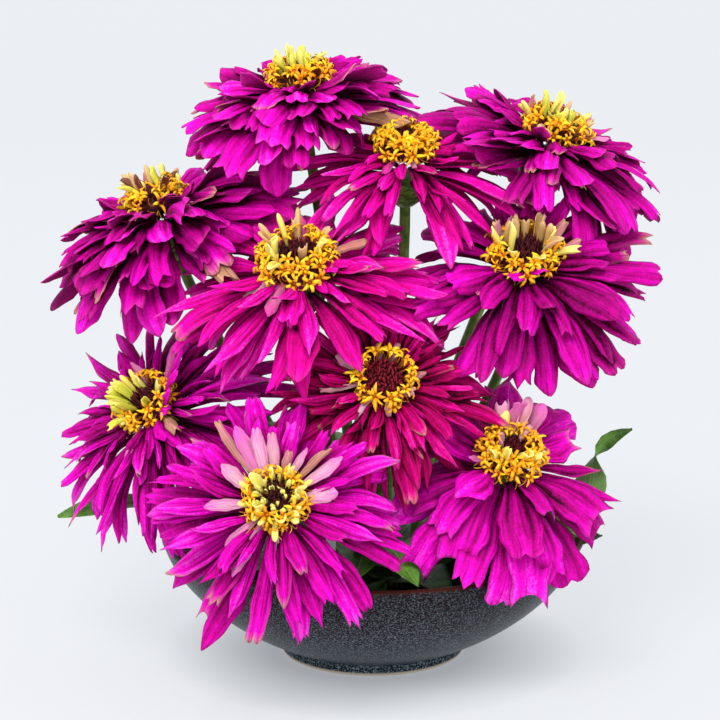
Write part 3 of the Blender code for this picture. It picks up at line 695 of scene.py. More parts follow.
def addStyle(parts, flower, azimuth, draw):
    # A thread-thin style between the florets and the petals, curled at its end
    radius = discRule["radius"] * flower.disc * draw.uniform(0.86, 1.05)
    points = [direction(azimuth, 0) * radius + Vector((0, 0, discRule["base"] + draw.uniform(-1.5, 2.5)))]
    heading, rise = azimuth + draw.uniform(-0.5, 0.5), draw.uniform(-0.7, 0.8)
    turn, curl = draw.uniform(-0.5, 0.5), draw.uniform(-0.9, 0.9)
    step = draw.uniform(0.8, 1.3)
    for k in range(6):
        points.append(points[-1] + direction(heading + turn * k, rise + 0.6 * curl * k) * step)
    parts.add(*tubeShape(points, [0.22] * 6 + [0.1], 4), tone=(draw.uniform(0.2, 1), 0.45, 0, 0))


def strapLine(azimuth, radius, lean, curl, length):
    # Points, side and upward directions of a strap floret, which curls as it rises
    s = np.linspace(0, 1, 21)[:, None]
    out, deeper = np.array(direction(azimuth, 0)), discRule["strapDeeper"]
    side = np.array((-out[1], out[0], 0)) + 0 * s
    along = out * np.sin(lean + curl * s) + (0, 0, 1) * np.cos(lean + curl * s)
    points = out * radius + (0, 0, discRule["strapRoot"] - deeper) + along * (length + deeper) * s
    return points, side, np.cross(along, side)


def addStrap(parts, place, tone, draw, scale=1.0):
    s, t = sheetGrid(10, 7)
    tip = tipLength(draw.choice(("rounded", "notched", "toothed")), t)
    s = s * (1 + (tip - 1) * s**4 * 1.5)
    half = scale * np.interp(s, (0, 0.3, 0.8, 1), (1.5, 2.6, 3.7, 2.4))
    curl = draw.uniform(1.7, 2.7) - 0.7 * s**3
    z = (1 - np.cos(curl * t)) / curl * half * draw.choice((1, -1)) + 0.14 * np.cos(3 * np.pi * t)
    sheet = bentSheet(strapLine(*place), s, np.sin(curl * t) / curl * half, z)
    parts.add(*thinShell(sheet, 0.3), bothSides(s, t), (strapTones[tone], draw.random(), 0, 0))


def addBud(parts, place, tone, draw, scale=1.0):
    # A strap floret still rolled shut: a blunt finger with a groove along it
    points = strapLine(*place)[0][[0, 5, 10, 14, 17, 19, 20]]
    radii = [scale * share for share in (0.8, 1.0, 1.3, 1.5, 1.45, 1.0, 0.3)]
    turn = draw.randrange(9)
    shape = tubeShape(points, radii, 9, lambda j, k: -0.3 if (j + turn) % 9 in (0, 4) else 0.06)
    uv = [(abs(((j + turn) % 9) / 4.5 - 1), k / 6) for k in range(7) for j in range(9)]
    parts.add(*shape, uv, (strapTones[tone], draw.random(), 0, 0))


def addFlorets(stars, flower, draw, fresh):
    # The solid's ring of open florets, more of them between and outside it, and styles round them
    look = discLooks[flower.number]

    def grow(azimuth, turn, share, lean, length):
        radius = discRule["radius"] * share
        root = direction(azimuth, 0) * share * discEdge(flower) + Vector((0, 0, domeHeight(radius) - 0.8))
        axis = direction(azimuth + turn, 0) * math.sin(lean) + Vector((0, 0, math.cos(lean)))
        addStar(stars, root, axis, length, fresh)

    for k in range(discRule["stars"]):
        azimuth = math.tau * (k + 0.15 * draw.uniform(-1, 1)) / discRule["stars"]
        lean = math.radians(discRule["lean"] + 10 * draw.uniform(-1, 1))
        grow(azimuth, 0, 0.8, lean, discRule["starLength"] * draw.uniform(0.85, 1.1) * 0.85)
    more = discRule["moreStars"] * look.stars
    rings = discRule["rings"][:3 if look.stars > 0.9 else 2]
    for k in range(round(more)):
        azimuth = math.tau * (k + 0.4 * fresh.uniform(-1, 1)) / more
        share, lean = rings[k % len(rings)]
        lean = math.radians(lean + 14 * fresh.uniform(-1, 1))
        grow(azimuth, fresh.uniform(-0.5, 0.5), share, lean, fresh.uniform(4.0, 9.0))
    for k in range(discRule["styles"]):
        addStyle(stars, flower, math.tau * (k + fresh.uniform(-0.4, 0.4)) / discRule["styles"], fresh)


def addStraps(straps, flower, draw, fresh):
    # The solid's strap florets and more rows of them, some still rolled shut
    look = discLooks[flower.number]
    tones = look.tones.split()
    for k in range(flower.straps):
        azimuth = math.tau * (k + 0.3 * draw.uniform(-1, 1)) / flower.straps
        lean, curl = math.radians(8 + 14 * draw.random()), math.radians(30 * draw.uniform(-0.4, 1))
        length = discRule["strapLength"] * draw.uniform(0.75, 1.1)
        radius = draw.uniform(*discRule["strapPlaces"]) * flower.disc
        addStrap(straps, (azimuth, radius, lean, curl, length), fresh.choice(tones), fresh)
    for count, radius, lean, length, first, last, wide in strapRows[flower.number]:
        for k in range(count):
            azimuth = math.radians(first + (last - first) * (k + fresh.uniform(0.2, 0.8)) / count)
            place = (azimuth, radius * fresh.uniform(0.85, 1.15) * flower.disc,
                     math.radians(lean + fresh.uniform(-8, 8)), math.radians(fresh.uniform(-14, 30)),
                     length * fresh.uniform(0.8, 1.2))
            add = addBud if fresh.random() < look.buds else addStrap
            add(straps, place, fresh.choice(tones), fresh, wide * fresh.uniform(0.85, 1.15))


def makeDisc(flower, materials):
    draw, fresh = drawsOf(flower, "floret"), drawsOf(flower, "disc")
    chaff, stars, straps = MeshParts(), MeshParts(), MeshParts()
    base, edge = discRule["base"], discEdge(flower)
    dome = [(0, base - 1), (0.97 * edge, base - 1), (0.97 * edge, base + 2.2),
            (0.7 * edge, base + discRule["height"] - 2), (0, base + discRule["height"] - 0.8)]
    chaff.add(*latheShape(dome, 20), tone=(0.2, 0, 0, 0))
    addChaff(chaff, flower, fresh)
    addFlorets(stars, flower, draw, fresh)
    addStraps(straps, flower, draw, fresh)
    for kind, parts in (("chaff", chaff), ("stars", stars), ("straps", straps)):
        if parts.count:
            name = f"bloom_{flower.number}_"
            parts.build(name + kind, materials[kind], headMatrix(flower), "floret", name + "disc")


# Stems, the scaly green cup under each head, and leaves

stemRule = {"radius": 2.7, "foot": 21.4, "neck": -14, "sides": 14, "rings": 36}
cupRule = {"rows": 5, "perRow": 11, "profile": ((-14.5, 2.8), (-10, 7.2), (-4, 10.4), (0.5, 10.6))}

leafRule = {
    # flower, share along its stem, heading, length, width, rise, fall, wave and, for some, roll
    "leaves": ((7, 0.36, 178, 114, 20, 20, 22, 1.8, -25), (8, 0.25, -100, 70, 30, 24, 26, 1.4),
               (9, 0.38, -16, 78, 26, 30, 14, 1.2), (10, 0.34, 206, 62, 27, 34, 30, 1.2),
               (5, 0.48, 168, 58, 20, 34, 42, 1.1), (3, 0.22, 48, 80, 30, 40, 52, 1.3),
               (1, 0.20, 96, 84, 32, 44, 56, 1.2), (4, 0.30, 150, 76, 28, 46, 50, 1.4),
               (1, 0.42, 40, 62, 22, 52, 60, 1.2)),
    # more low leaves that fill the bowl's mouth, and one beside the right-hand leaf; all get a dark green
    # that is painted shade
    "more": ((9, 0.10, -35, 66, 30, 26, 16, 1.6), (9, 0.18, 6, 92, 34, 26, 4, 1.8, 50),
             (6, 0.12, -8, 82, 36, 34, -4, 2.0), (8, 0.10, -105, 64, 30, 26, 16, 1.5),
             (8, 0.12, -60, 66, 32, 24, 18, 1.7), (10, 0.10, -130, 58, 28, 28, 20, 1.5),
             (10, 0.14, -80, 62, 30, 22, 18, 1.6), (7, 0.12, 200, 58, 30, 26, 20, 1.5),
             (5, 0.08, -150, 70, 30, 26, 14, 1.5), (4, 0.12, 120, 70, 30, 26, 18, 1.5),
             (1, 0.10, 75, 66, 30, 26, 18, 1.5), (3, 0.12, 20, 68, 32, 26, 14, 1.6),
             (2, 0.10, 60, 74, 30, 26, 18, 1.4), (2, 0.16, 140, 66, 28, 34, 24, 1.4)),
    # leaves with a line of their own: flower, points, way faced, rolls, width, wave, shade
    "drawn": ((6, ((24, 0, 46), (66, -2, 56), (92, -3, 64), (105, -4, 78), (107.5, -4, 92), (106, -4, 100),
                   (111, -5, 107), (117, -6, 110), (125, -6, 112)), (0, -1, 0),
               (180, 180, 176, 168, 150, 80, 20, 4, 0), 20, 1.6, 0.5),
              (8, ((3, -14, 44), (5, -40, 62), (8, -64, 70), (13, -84, 68), (20, -94, 60)), (0, 0, 1),
               (0, 0, 10, 20, 20), 32, 1.6, 0.8),
              (9, ((21, -18, 42), (58, -28, 64), (84, -37, 69), (95, -43, 62), (98, -45, 50)), (0, 0, 1),
               (0, 0, 0, 0, 0), 13, 1.2, 0.4)),
    # painted shade: the low leaves get a dark green for the shade in the bowl's mouth
    "shades": {"leaves": 0.6, "more": 0.15},  # how light their green is
    "rows": 29,
    "columns": 15,
    "thick": 0.55,
}


def stemControls(flower):
    foot = Vector((*flower.foot, stemRule["foot"]))
    neck = Vector(flower.at) + headAxis(flower) * stemRule["neck"]
    span = (neck - foot).length
    return foot, foot + Vector((0, 0, span * 0.38)), neck - headAxis(flower) * span * 0.36, neck


def ruledLeaf(number, share, heading, length, rise, fall, roll=0):
    # The solid's own line, a straight step for each of its six segments, smoothed by finer steps
    segments, fine = 6, 24
    heading = math.radians(heading)
    side = np.array([-math.sin(heading), math.cos(heading), 0.0])
    points, sides, ups = [np.array(bezier(stemControls(flowers[number]), share))], [], []
    for k in range(fine):
        s = 0.5 * int(k * segments / fine) / segments + 0.5 * k / fine
        along = np.array(direction(heading, math.radians(rise - (rise + fall) * s**1.3)))
        points.append(points[-1] + along * length / fine)
        up, turn = np.cross(along, side), math.radians(roll) * ((k + 1) / fine) ** 1.5
        sides.append(side * math.cos(turn) + up * math.sin(turn))
        ups.append(up * math.cos(turn) - side * math.sin(turn))
    return np.array(points), np.array(sides[:1] + sides), np.array(ups[:1] + ups)


def drawnLeaf(path, facing, rolls):
    # A leaf that bends and turns over along a line of its own
    path = np.array(path, float)
    lengths = np.concatenate([[0], np.cumsum(np.linalg.norm(np.diff(path, axis=0), axis=1))])
    fine = np.linspace(0, lengths[-1], 25)
    line = np.stack([np.interp(fine, lengths, values) for values in (*path.T, np.radians(rolls))], -1)
    for _ in range(3):
        line[1:-1] = 0.25 * line[:-2] + 0.5 * line[1:-1] + 0.25 * line[2:]
    points, roll = line[:, :3], line[:, 3:]
    side = np.cross(np.array(facing, float), np.gradient(points, axis=0))
    side /= np.linalg.norm(side, axis=1, keepdims=True)
    up = np.cross(np.gradient(points, axis=0), side)
    up /= np.linalg.norm(up, axis=1, keepdims=True)
    return points, side * np.cos(roll) + up * np.sin(roll), up * np.cos(roll) - side * np.sin(roll)


def leafShape(line, width, wave, shade, draw):
    s, t = sheetGrid(leafRule["rows"], leafRule["columns"])
    aside, phase = np.abs(t), draw.uniform(0, math.tau)
    outline = np.clip(np.sin(np.pi * s**0.85), 0, 1) ** 0.8
    half = width / 2 * outline + 1.6 * (1 - s) + 0.15
    z = 0.22 * half * aside**1.3 - wave * aside**1.6 * np.sign(t) * np.sin(9 * s) * np.clip(3 * s, 0, 1)
    z += 0.7 * t**2 * np.sin(23 * s + phase + 2 * np.sign(t)) * outline
    # the midrib and the two long veins beside it lie sunk
    z -= 0.5 * np.exp(-((t / 0.07) ** 2)) * (1 - 0.6 * s)
    z -= 0.35 * np.exp(-(((aside - 0.42 * (1 - 0.2 * s)) / 0.07) ** 2)) * outline
    z += 0.22 * outline * np.sin(38 * s - 9 * aside + phase) * (1 - t**2)
    sheet = bentSheet(line, s, half * t * (1 - 0.05 * t**2), z)
    tone = np.full((2, s.size, 4), (shade, 0, 0, 0), float)
    tone[1, :, 1] = 1
    points, faces = thinShell(sheet, leafRule["thick"] * (1 - 0.6 * aside**3)[..., None])
    return points, faces, bothSides(s, t), tone.reshape(-1, 4)


def addCup(parts, flower, draw):
    # Rounded overlapping scales round the cup, each with a darker edge
    heights, radii = zip(*cupRule["profile"])
    matrix = headMatrix(flower)
    core = [(radius - 0.7, height) for height, radius in cupRule["profile"]]
    shape, faces = latheShape([(0, heights[0]), *core, (0, heights[-1])], 22)
    parts.add(placed(np.array(shape), matrix), faces, tone=(0.4, 0, 0, 0))
    s, t = sheetGrid(6, 5)
    pitch = math.tau / cupRule["perRow"]
    for row, k in np.ndindex(cupRule["rows"], cupRule["perRow"]):
        azimuth = pitch * (k + 0.5 * (row % 2) + 0.12 * draw.uniform(-1, 1))
        height = heights[0] + 1.2 + row * 2.6 + 5.2 * s * (1 - 0.16 * t**2 * s)
        radius = np.interp(height, heights, radii) + 0.25 + 0.55 * s - 0.35 * t**2
        angle = azimuth - 0.62 * pitch * np.sqrt(np.clip(1 - 0.85 * s**3, 0.02, 1)) * (0.75 + 0.4 * s) * t
        top = np.stack([radius * np.cos(angle), radius * np.sin(angle), height], -1)
        shape, faces = gridShell(top, top * (0.95, 0.95, 1) - (0, 0, 0.1))
        parts.add(placed(shape, matrix), faces, bothSides(s, t), (draw.random(), 0, 1, 0))


def makeStem(flower, skin, leafSkin):
    draw = drawsOf(flower, "stem")
    name = f"bloom_{flower.number}_"
    rings, sides = stemRule["rings"], stemRule["sides"]
    shift = bowlAxis / mm
    stem, leaves = MeshParts(), MeshParts()
    points = [bezier(stemControls(flower), k / rings) + shift for k in range(rings + 1)]
    radii = [stemRule["radius"] * (1.08 - 0.16 * k / rings) for k in range(rings + 1)]
    ripple = [draw.uniform(-0.04, 0.04) for _ in range(sides)]
    shape = tubeShape(points, radii, sides, lambda j, k: ripple[j] + 0.015 * math.sin(k * 1.9 + j))
    uv = [(j / sides, k / rings) for k in range(rings + 1) for j in range(sides)]
    stem.add(*shape, uv, (draw.random(), 0, 0, 0))
    addCup(stem, flower, draw)
    stem.build(name + "stalk", skin, Matrix(), "green", name + "stem")
    lines = [(leaf[0], ruledLeaf(*leaf[:4], *leaf[5:7], *leaf[8:]), leaf[4], leaf[7], shade)
             for kind, shade in leafRule["shades"].items() for leaf in leafRule[kind]]
    lines += [(leaf[0], drawnLeaf(*leaf[1:4]), *leaf[4:]) for leaf in leafRule["drawn"]]
    for number, line, width, wave, shade in lines:
        if number == flower.number:
            shape, *rest = leafShape(line, width, wave, shade, draw)
            leaves.add(shape + np.array(shift), *rest)
    if leaves.count:
        leaves.build(name + "leaves", leafSkin, Matrix(), "green", name + "stem")


# how the petals fill a head
growRule = {
    "wild": 1.5,  # how much freer the petals between the solid's are drawn
    "dense": 0.65,  # a head with more fill than this takes the shingles too
    "tries": 40,  # changes tried for a petal between
    "clear": (0.8, 0.2),  # mm kept free of other heads and pieces; two shells, as one could hold a piece
    "close": 0.05,  # mm kept free of petals of the same head
    "open": 23,  # mm round another head's middle that petals leave open to the front
    "above": 14,  # mm from a head's place to its middle
    "ahead": 4,  # mm in front of a middle where a petal starts to hide it
    "cut": 0.8,  # length left to a petal of the solid that would hide one
}
frontward = direction(math.radians(-90), math.radians(12))  # towards the camera


def hidesMiddle(points, middles):
    # Whether a petal would hang in front of another head's middle, whose own petals would push it aside
    for point, middle in itertools.product(points, middles):
        off = point - middle
        ahead = off.dot(frontward)
        if ahead > growRule["ahead"] and (off - frontward * ahead).length < growRule["open"]:
            return True
    return False


def addAccents(parts, flower, draw):
    # The petals that stand apart, whatever lies near them
    for azimuth, length, root, tip, width, pale, dry, *kind in accents[flower.number]:
        petal = dict(height=8 if kind else 13, azimuth=math.radians(azimuth), length=length, width=width,
                     root=root, tip=tip, bend=draw.uniform(-15, 15), twist=draw.uniform(-20, 20))
        own = petalLook(flower, draw)
        if kind:
            own.update(tip=tipKinds[kind[0]], broad=1, square=0.8, dry=0, sway=0, turn=0.2, tipRise=3)
            petal.update(bend=0, twist=0)
        else:
            own.update(tip=draw.choice(("rounded", "notched")), broad=1, pale=pale, dry=dry, dryTip=dry,
                       curl=0.7 + 1.3 * dry, tipRise=0, sway=0, turn=dry * own["turn"] * 2, fold=0.35,
                       ruffle=0.5 + dry, tone=0.75)
        parts.add(*finePetal(petal, own))


def growPetals(flower, others, material):
    # The solid model's petals in finer form, and more between them wherever there is room
    draw = drawsOf(flower, "petal")
    look = petalLooks[flower.number]
    matrix = headMatrix(flower)
    node = f"bloom_{flower.number}_petals"
    solid = nodeTree(node)
    gap = gaps.get(flower.number, (0, 0))
    middles = [Vector(f.at) + bowlAxis / mm + headAxis(f) * growRule["above"]
               for f in flowers.values() if f is not flower]
    parts, grown = MeshParts(), []

    def inGap(petal):
        return gap[0] < (math.degrees(petal["azimuth"]) + 180) % 360 - 180 < gap[1]

    def inWay(petal):
        return hidesMiddle([Vector(p) for p in placed(petalLine(petal)[0][6::7], matrix)], middles)

    def crowded(petal):
        blades = [bladeTree(petal, margin, matrix, (3, 9, 14, 20)) for margin in growRule["clear"]]
        slim = bladeTree(petal, growRule["close"], matrix, (8, 14, 20))
        return (any(blade.overlap(other) for blade in blades for other in others)
                or any(slim.overlap(blade) for blade in grown))

    def grow(petal):
        parts.add(*finePetal(petal, petalLook(flower, draw)))
        grown.append(bladeTree(petal, 0, matrix))

    for petal in wantedPetals(flower, petalRule["whorls"], flower.seed):
        found = petalAsBuilt(petal, solid, matrix)
        if found and not inGap(petal):
            grow({**found, "length": found["length"] * growRule["cut"]} if inWay(found) else found)
    main = len(grown)
    rows = petalRule["fillers"] + (petalRule["shingles"] if look.fill > growRule["dense"] else ())
    for petal in wantedPetals(flower, rows, flower.seed + seedSteps["between"], growRule["wild"]):
        if draw.random() > look.fill or inGap(petal):
            continue
        tries = (changedPetal(petal, *change) for change in petalChanges[:growRule["tries"]])
        fitting = next((tried for tried in tries if not inWay(tried) and not crowded(tried)), None)
        if fitting:
            grow(fitting)
    addAccents(parts, flower, draw)
    paintNeighbourShade(parts)
    print(f"  bloom {flower.number}: {main} petals of the solid, {len(grown) - main} more")
    slot = "dark_petal" if flower.number == 8 else "petal"
    parts.build(f"bloom_{flower.number}_rays", material, matrix, slot, node)
    return grown


# Bowl, pin holder and water

bowlRule = {
    # the solid's own curve from the foot to the rim, radius and height in millimetres
    "wall": ((46, 8), (72, 16), (99, 38), (103, 60)),
    "wallThick": 4.5,
    "drop": 2.0,  # the wall's lowest part sags a little over the foot
    "floor": (44, 12.5),
    "foot": (44.5, 8, 6.5, 2.5),  # radius, height, width of its ring, recess inside it
    "sides": 160,
    "steps": 34,
}
waterLevel = 47
holderRule = {"radius": 40, "height": 8, "base": 12.8, "pitch": 5.0, "pinRadius": 0.55, "clear": 4.0}


def wallCurve(inset, low, high):
    # The wall's curve from the foot up, moved inwards, between two heights
    wall, points = [(r, z, 0) for r, z in bowlRule["wall"]], []
    for k in range(bowlRule["steps"] + 1):
        share = k / bowlRule["steps"]
        here, ahead = bezier(wall, share), bezier(wall, share + 0.001)
        along = (ahead - here).normalized()
        points.append((here.x - along.y * inset, here.y + along.x * inset))
    return [(r, z) for r, z in points if low < z < high]


def rounded(centre, radius, start, end, steps):
    angles = [math.radians(start + (end - start) * k / steps) for k in range(steps + 1)]
    return [(centre[0] + radius * math.cos(a), centre[1] + radius * math.sin(a)) for a in angles]


def lathed(name, profile, sides, material, slot, node, *more):
    # A turned piece on the bowl's axis, with any other shapes that belong to it
    parts = MeshParts()
    for shape in (latheShape(profile, sides), *more):
        parts.add(*shape)
    parts.build(name, material, Matrix.Translation(bowlAxis), slot, node)


def makeBowl(material):
    rim, height = bowlRule["wall"][-1]
    thick, drop = bowlRule["wallThick"], bowlRule["drop"]
    floorRadius, floorHeight = bowlRule["floor"]
    foot, footHeight, ring, recess = bowlRule["foot"]
    profile = [(0, floorHeight), (floorRadius * 0.5, floorHeight), (floorRadius - 3, floorHeight + 0.1)]
    profile += wallCurve(thick, floorHeight + 0.6, height - 2.4)
    profile += rounded((rim - thick / 2, height - thick / 2), thick / 2 - 0.05, 180, 0, 12)
    outside = wallCurve(0, -1, height - 2.4)[::-1]
    profile += [(r, z - drop * math.exp((footHeight - z) / 7)) for r, z in outside]
    profile += [(foot + 0.9, footHeight - drop - 0.1), (foot + 0.1, footHeight - drop - 0.7),
                (foot - 0.2, footHeight - drop - 1.6), (foot - 0.1, 3), (foot, 1.6)]
    profile += rounded((foot - 1.0, 1.0), 0.95, 0, -90, 5)
    profile += [(foot - ring / 2, 0), (foot - ring + 0.9, 0.05), (foot - ring, 0.8),
                (foot - ring - 1, recess), (20, recess), (0, recess)]
    lathed("bowl_thrown", profile[::-1], bowlRule["sides"], material, "bowl_glaze", "bowl")


def makeHolder(material):
    base, radius, pitch, pin = (holderRule[key] for key in ("base", "radius", "pitch", "pinRadius"))
    top = base + holderRule["height"]
    profile = [(0, base), (radius - 0.8, base), (radius, base + 0.8),
               (radius, top - 1), (radius - 1, top), (0, top)]
    pins = []
    rows = range(-int(radius / pitch) - 1, int(radius / pitch) + 2)
    for row, column in itertools.product(rows, rows):
        x, y = (column + 0.5 * (row % 2)) * pitch, row * pitch * math.sqrt(3) / 2
        stems = [math.hypot(x - f.foot[0], y - f.foot[1]) for f in flowers.values()]
        if math.hypot(x, y) <= radius - 2.5 and min(stems) >= holderRule["clear"]:
            pins.append(tubeShape([(x, y, top - 0.5), (x, y, top + 8), (x, y, top + 12)], (pin, pin, 0.1), 6))
    lathed("pin_holder_cast", profile, 72, material, "holder_metal", "pin_holder", *pins)


def makeWater(material):
    floorRadius, floorHeight = bowlRule["floor"]
    side = [(r - 0.15, z) for r, z in wallCurve(bowlRule["wallThick"], floorHeight + 1, waterLevel - 1.2)]
    edge = side[-1][0] + 1.2
    profile = [(0, floorHeight + 0.2), (floorRadius - 3, floorHeight + 0.3), *side,
               (edge, waterLevel + 0.3), (edge - 0.6, waterLevel + 0.1), (edge - 2, waterLevel),
               (edge * 0.5, waterLevel), (0, waterLevel)]
    lathed("water_body", profile, 96, material, "water", "water")


# Materials

bloomShades = {2: "pink", 5: "pink", 8: "crimson"}  # the others are magenta
petalTissue = {
    # each ramp: a deep colour for painted shade, the petal's own mid and light colours, and a painted
    # highlight at the top
    "magenta": dict(ramp=("#36021c", "#c0048a", "#fa0acc", "#ff44da"), vein="#66023e", edge="#640630"),
    "pink": dict(ramp=("#3c021c", "#d20480", "#fc0cb8", "#ff48ca"), vein="#6e023c", edge="#6c082c"),
    "crimson": dict(ramp=("#28020e", "#b00456", "#ea0690", "#ff2cae"), vein="#44021c", edge="#40040e"),
    "dried": ((0.3, "#e6bc8a"), (0.7, "#8a4a34")),
    "pale": ((0.35, "#ec74c8"), (0.65, "#fae2da")),
    "underside": "#8a2466",
    "veins": 9,  # across a petal about 10 mm wide; real ones lie closer and would not show
    "mottle": 4.0,  # mm
    "grain": 1.1,  # mm between the small puckers; real cells are far finer and would not show
}


def petalMaterial(name, shades):
    # Fresh ray petal: thin satin skin on soft wet tissue, so light slides along it and glows a little
    # through it; fine cell walls scatter what a flat skin would mirror, so it has little gloss
    material, add = newMaterial(name)
    on, solid = notesOf(add), add("TexCoord", out="Object")
    mottle = add("TexNoise", {"Vector": solid, "Scale": 1 / (petalTissue["mottle"] * mm), "Detail": 3.0})
    grain = add("TexNoise", {"Vector": solid, "Scale": 1 / (petalTissue["grain"] * mm), "Detail": 2.0,
                             "Roughness": 0.6})
    lines = add("Mapping", {"Vector": on.place, "Scale": (petalTissue["veins"], 1.3, 1)})
    vein = add("TexNoise", {"Vector": lines, "Scale": 1.0, "Detail": 3.0, "Roughness": 0.65})
    # the tone's red note carries the painted shade; the petal is also painted lighter towards its tip
    shade = summed(add, on.red, (mottle, 0.5), (grain, 0.7), (on.along, 0.16))
    fresh = add("ValToRGB", (add("MapRange", (shade, 0.35, 1.85)),),
                stops=tuple(zip((0.05, 0.5, 0.88, 1.0), shades["ramp"])))
    pale, dried = (add("ValToRGB", (vein,), stops=petalTissue[key]) for key in ("pale", "dried"))
    below = add("Math", (on.green, 0.55), operation="MULTIPLY")
    colour = layered(add, fresh, (add("MapRange", (vein, 0.47, 0.66, 0, 0.85)), shades["vein"]),
                     (add("MapRange", (on.aside, 0.45, 0.5, 0, 0.75)), shades["edge"]), (on.alpha, pale),
                     (below, petalTissue["underside"]), (on.blue, dried))
    look = {"Base Color": colour, "Roughness": 0.45, "IOR": 1.4, "Specular IOR Level": 0.05,
            **soft(0.12, (1.0, 0.25, 0.7), 0.0012)}
    return finished(material, look, (summed(add, 0, (mottle, 0.6), (vein, -1), (grain, 0.45)), 0.8, 0.0012))


def chaffMaterial():
    # Dry papery chaff: dull dark-red scales, paler at some tips, so the middle reads as a deep brush
    material, add = newMaterial("papery_chaff")
    colour = add("ValToRGB", (notesOf(add).red,), ((0.0, "#2c060c"), (0.5, "#5e0c1a"), (1.0, "#a01c38")))
    return finished(material, {"Base Color": colour, "Roughness": 0.7, "IOR": 1.4})


def starMaterial():
    # Waxy floret tissue dusted with pollen: warm golden yellow, orange down in the tubes and on the styles
    material, add = newMaterial("pollen_dusted_floret")
    on = notesOf(add)
    lobe = add("ValToRGB", (on.red,), ((0.0, "#e88c00"), (0.5, "#fcb000"), (1.0, "#ffd624")))
    tube = add("ValToRGB", (on.red,), ((0.0, "#6e1d12"), (0.5, "#b8560c"), (1.0, "#e8a024")))
    look = {"Base Color": layered(add, tube, (on.green, lobe)), "Roughness": 0.55, "IOR": 1.4}
    return finished(material, {**look, **soft(0.15, (1.0, 0.6, 0.1), 0.001)})


def strapMaterial():
    # Pale strap floret, fresh or going dry: translucent, ribbed, from lime and cream to tan, pink and brown
    material, add = newMaterial("pale_strap_floret")
    on = notesOf(add)
    low, high = (add("ValToRGB", (on.red,), tuple(zip((0.0, 0.25, 0.5, 0.75, 1.0), colours)))
                 for colours in (("#c6c82a", "#ecd84a", "#c9a055", "#e8bfa0", "#8a4a34"),
                                 ("#dedc58", "#f6ee86", "#dcb484", "#d98ab4", "#743c34")))
    rib = add("Mapping", {"Vector": on.place, "Scale": (6, 1, 1)})
    grain = add("TexNoise", {"Vector": rib, "Scale": 1.4, "Detail": 3.0})
    colour = layered(add, low, (on.along, high), (add("MapRange", (grain, 0.5, 0.75, 0, 0.4)), "#b89238"))
    look = {"Base Color": colour, "Roughness": 0.5, "IOR": 1.4, **soft(0.2, (1.0, 0.8, 0.3), 0.0012)}
    return finished(material, look, (grain, 0.4, 0.0006))


def stemMaterial():
    # Living stem skin: ribbed, faintly waxy green, browner on the cup scales' edges
    material, add = newMaterial("living_stem_skin")
    on = notesOf(add)
    mottle = add("TexNoise", {"Vector": add("TexCoord", out="Object"), "Scale": 220.0, "Detail": 4.0})
    streak = add("Mapping", {"Vector": on.place, "Scale": (22, 3, 1)})
    rib = add("TexNoise", {"Vector": streak, "Scale": 1.0, "Detail": 2.0})
    green = add("ValToRGB", (mottle,), ((0.3, "#4a701f"), (0.5, "#6e9a38"), (0.72, "#9cb85a")))
    edge = add("Math", (add("MapRange", (on.along, 0.8, 1.0)), on.blue), operation="MULTIPLY")
    colour = layered(add, green, (add("MapRange", (rib, 0.45, 0.7, 0, 0.5)), "#24400f"), (edge, "#3a1a12"))
    return finished(material, {"Base Color": colour, "Roughness": 0.5, "IOR": 1.4}, (rib, 0.5, 0.0006))


def leafMaterial():
    # Rough-haired living leaf: matt green above, paler below, with light veins that net the blade
    material, add = newMaterial("living_leaf")
    on, solid = notesOf(add), add("TexCoord", out="Object")
    net = add("TexVoronoi", {"Vector": solid, "Scale": 330.0}, feature="DISTANCE_TO_EDGE")  # 3 mm
    mottle = add("TexNoise", {"Vector": solid, "Scale": 120.0, "Detail": 5.0})
    # painted shade: the tone's red note, low for the leaves in the bowl's mouth, darkens the green and dims
    # the veins and the paler underside
    green = add("ValToRGB", (summed(add, mottle, (on.red, 0.6)),),
                ((0.45, "#142a0a"), (0.75, "#2f5c14"), (1.0, "#5e9428")))
    rib = add("MapRange", (on.aside, 0.012, 0.03, 0.8, 0))
    side = add("MapRange", (apart(add, on.aside, 0.2), 0.006, 0.02, 0.5, 0))
    lines = add("Math", (rib, side), operation="MAXIMUM")
    lines = add("Math", (lines, add("MapRange", (net, 0, 0.09, 0.35, 0))), operation="MAXIMUM")
    lit = summed(add, 0.1, (on.red, 0.75))
    seen, below = (add("Math", (share, lit), operation="MULTIPLY") for share in (lines, on.green))
    colour = layered(add, green, (seen, "#a8c46c"), (below, "#8fae6e"))
    look = {"Base Color": colour, "Roughness": 0.48, "IOR": 1.4, **soft(0.1, (0.5, 1.0, 0.2), 0.001)}
    return finished(material, look, (summed(add, mottle, (lines, -1)), 0.5, 0.0008))


stonewareGlaze = {
    "top": "#1c1418",
    "body": "#1c131a",
    "low": "#101e24",
    "speck": "#7c8992",
    "dark": "#040506",
    "rim": "#3c160c",
    "bare": "#b9a996",
    "grain": 0.8,  # mm between specks; real ones are nearer 0.4 mm and would not show
}


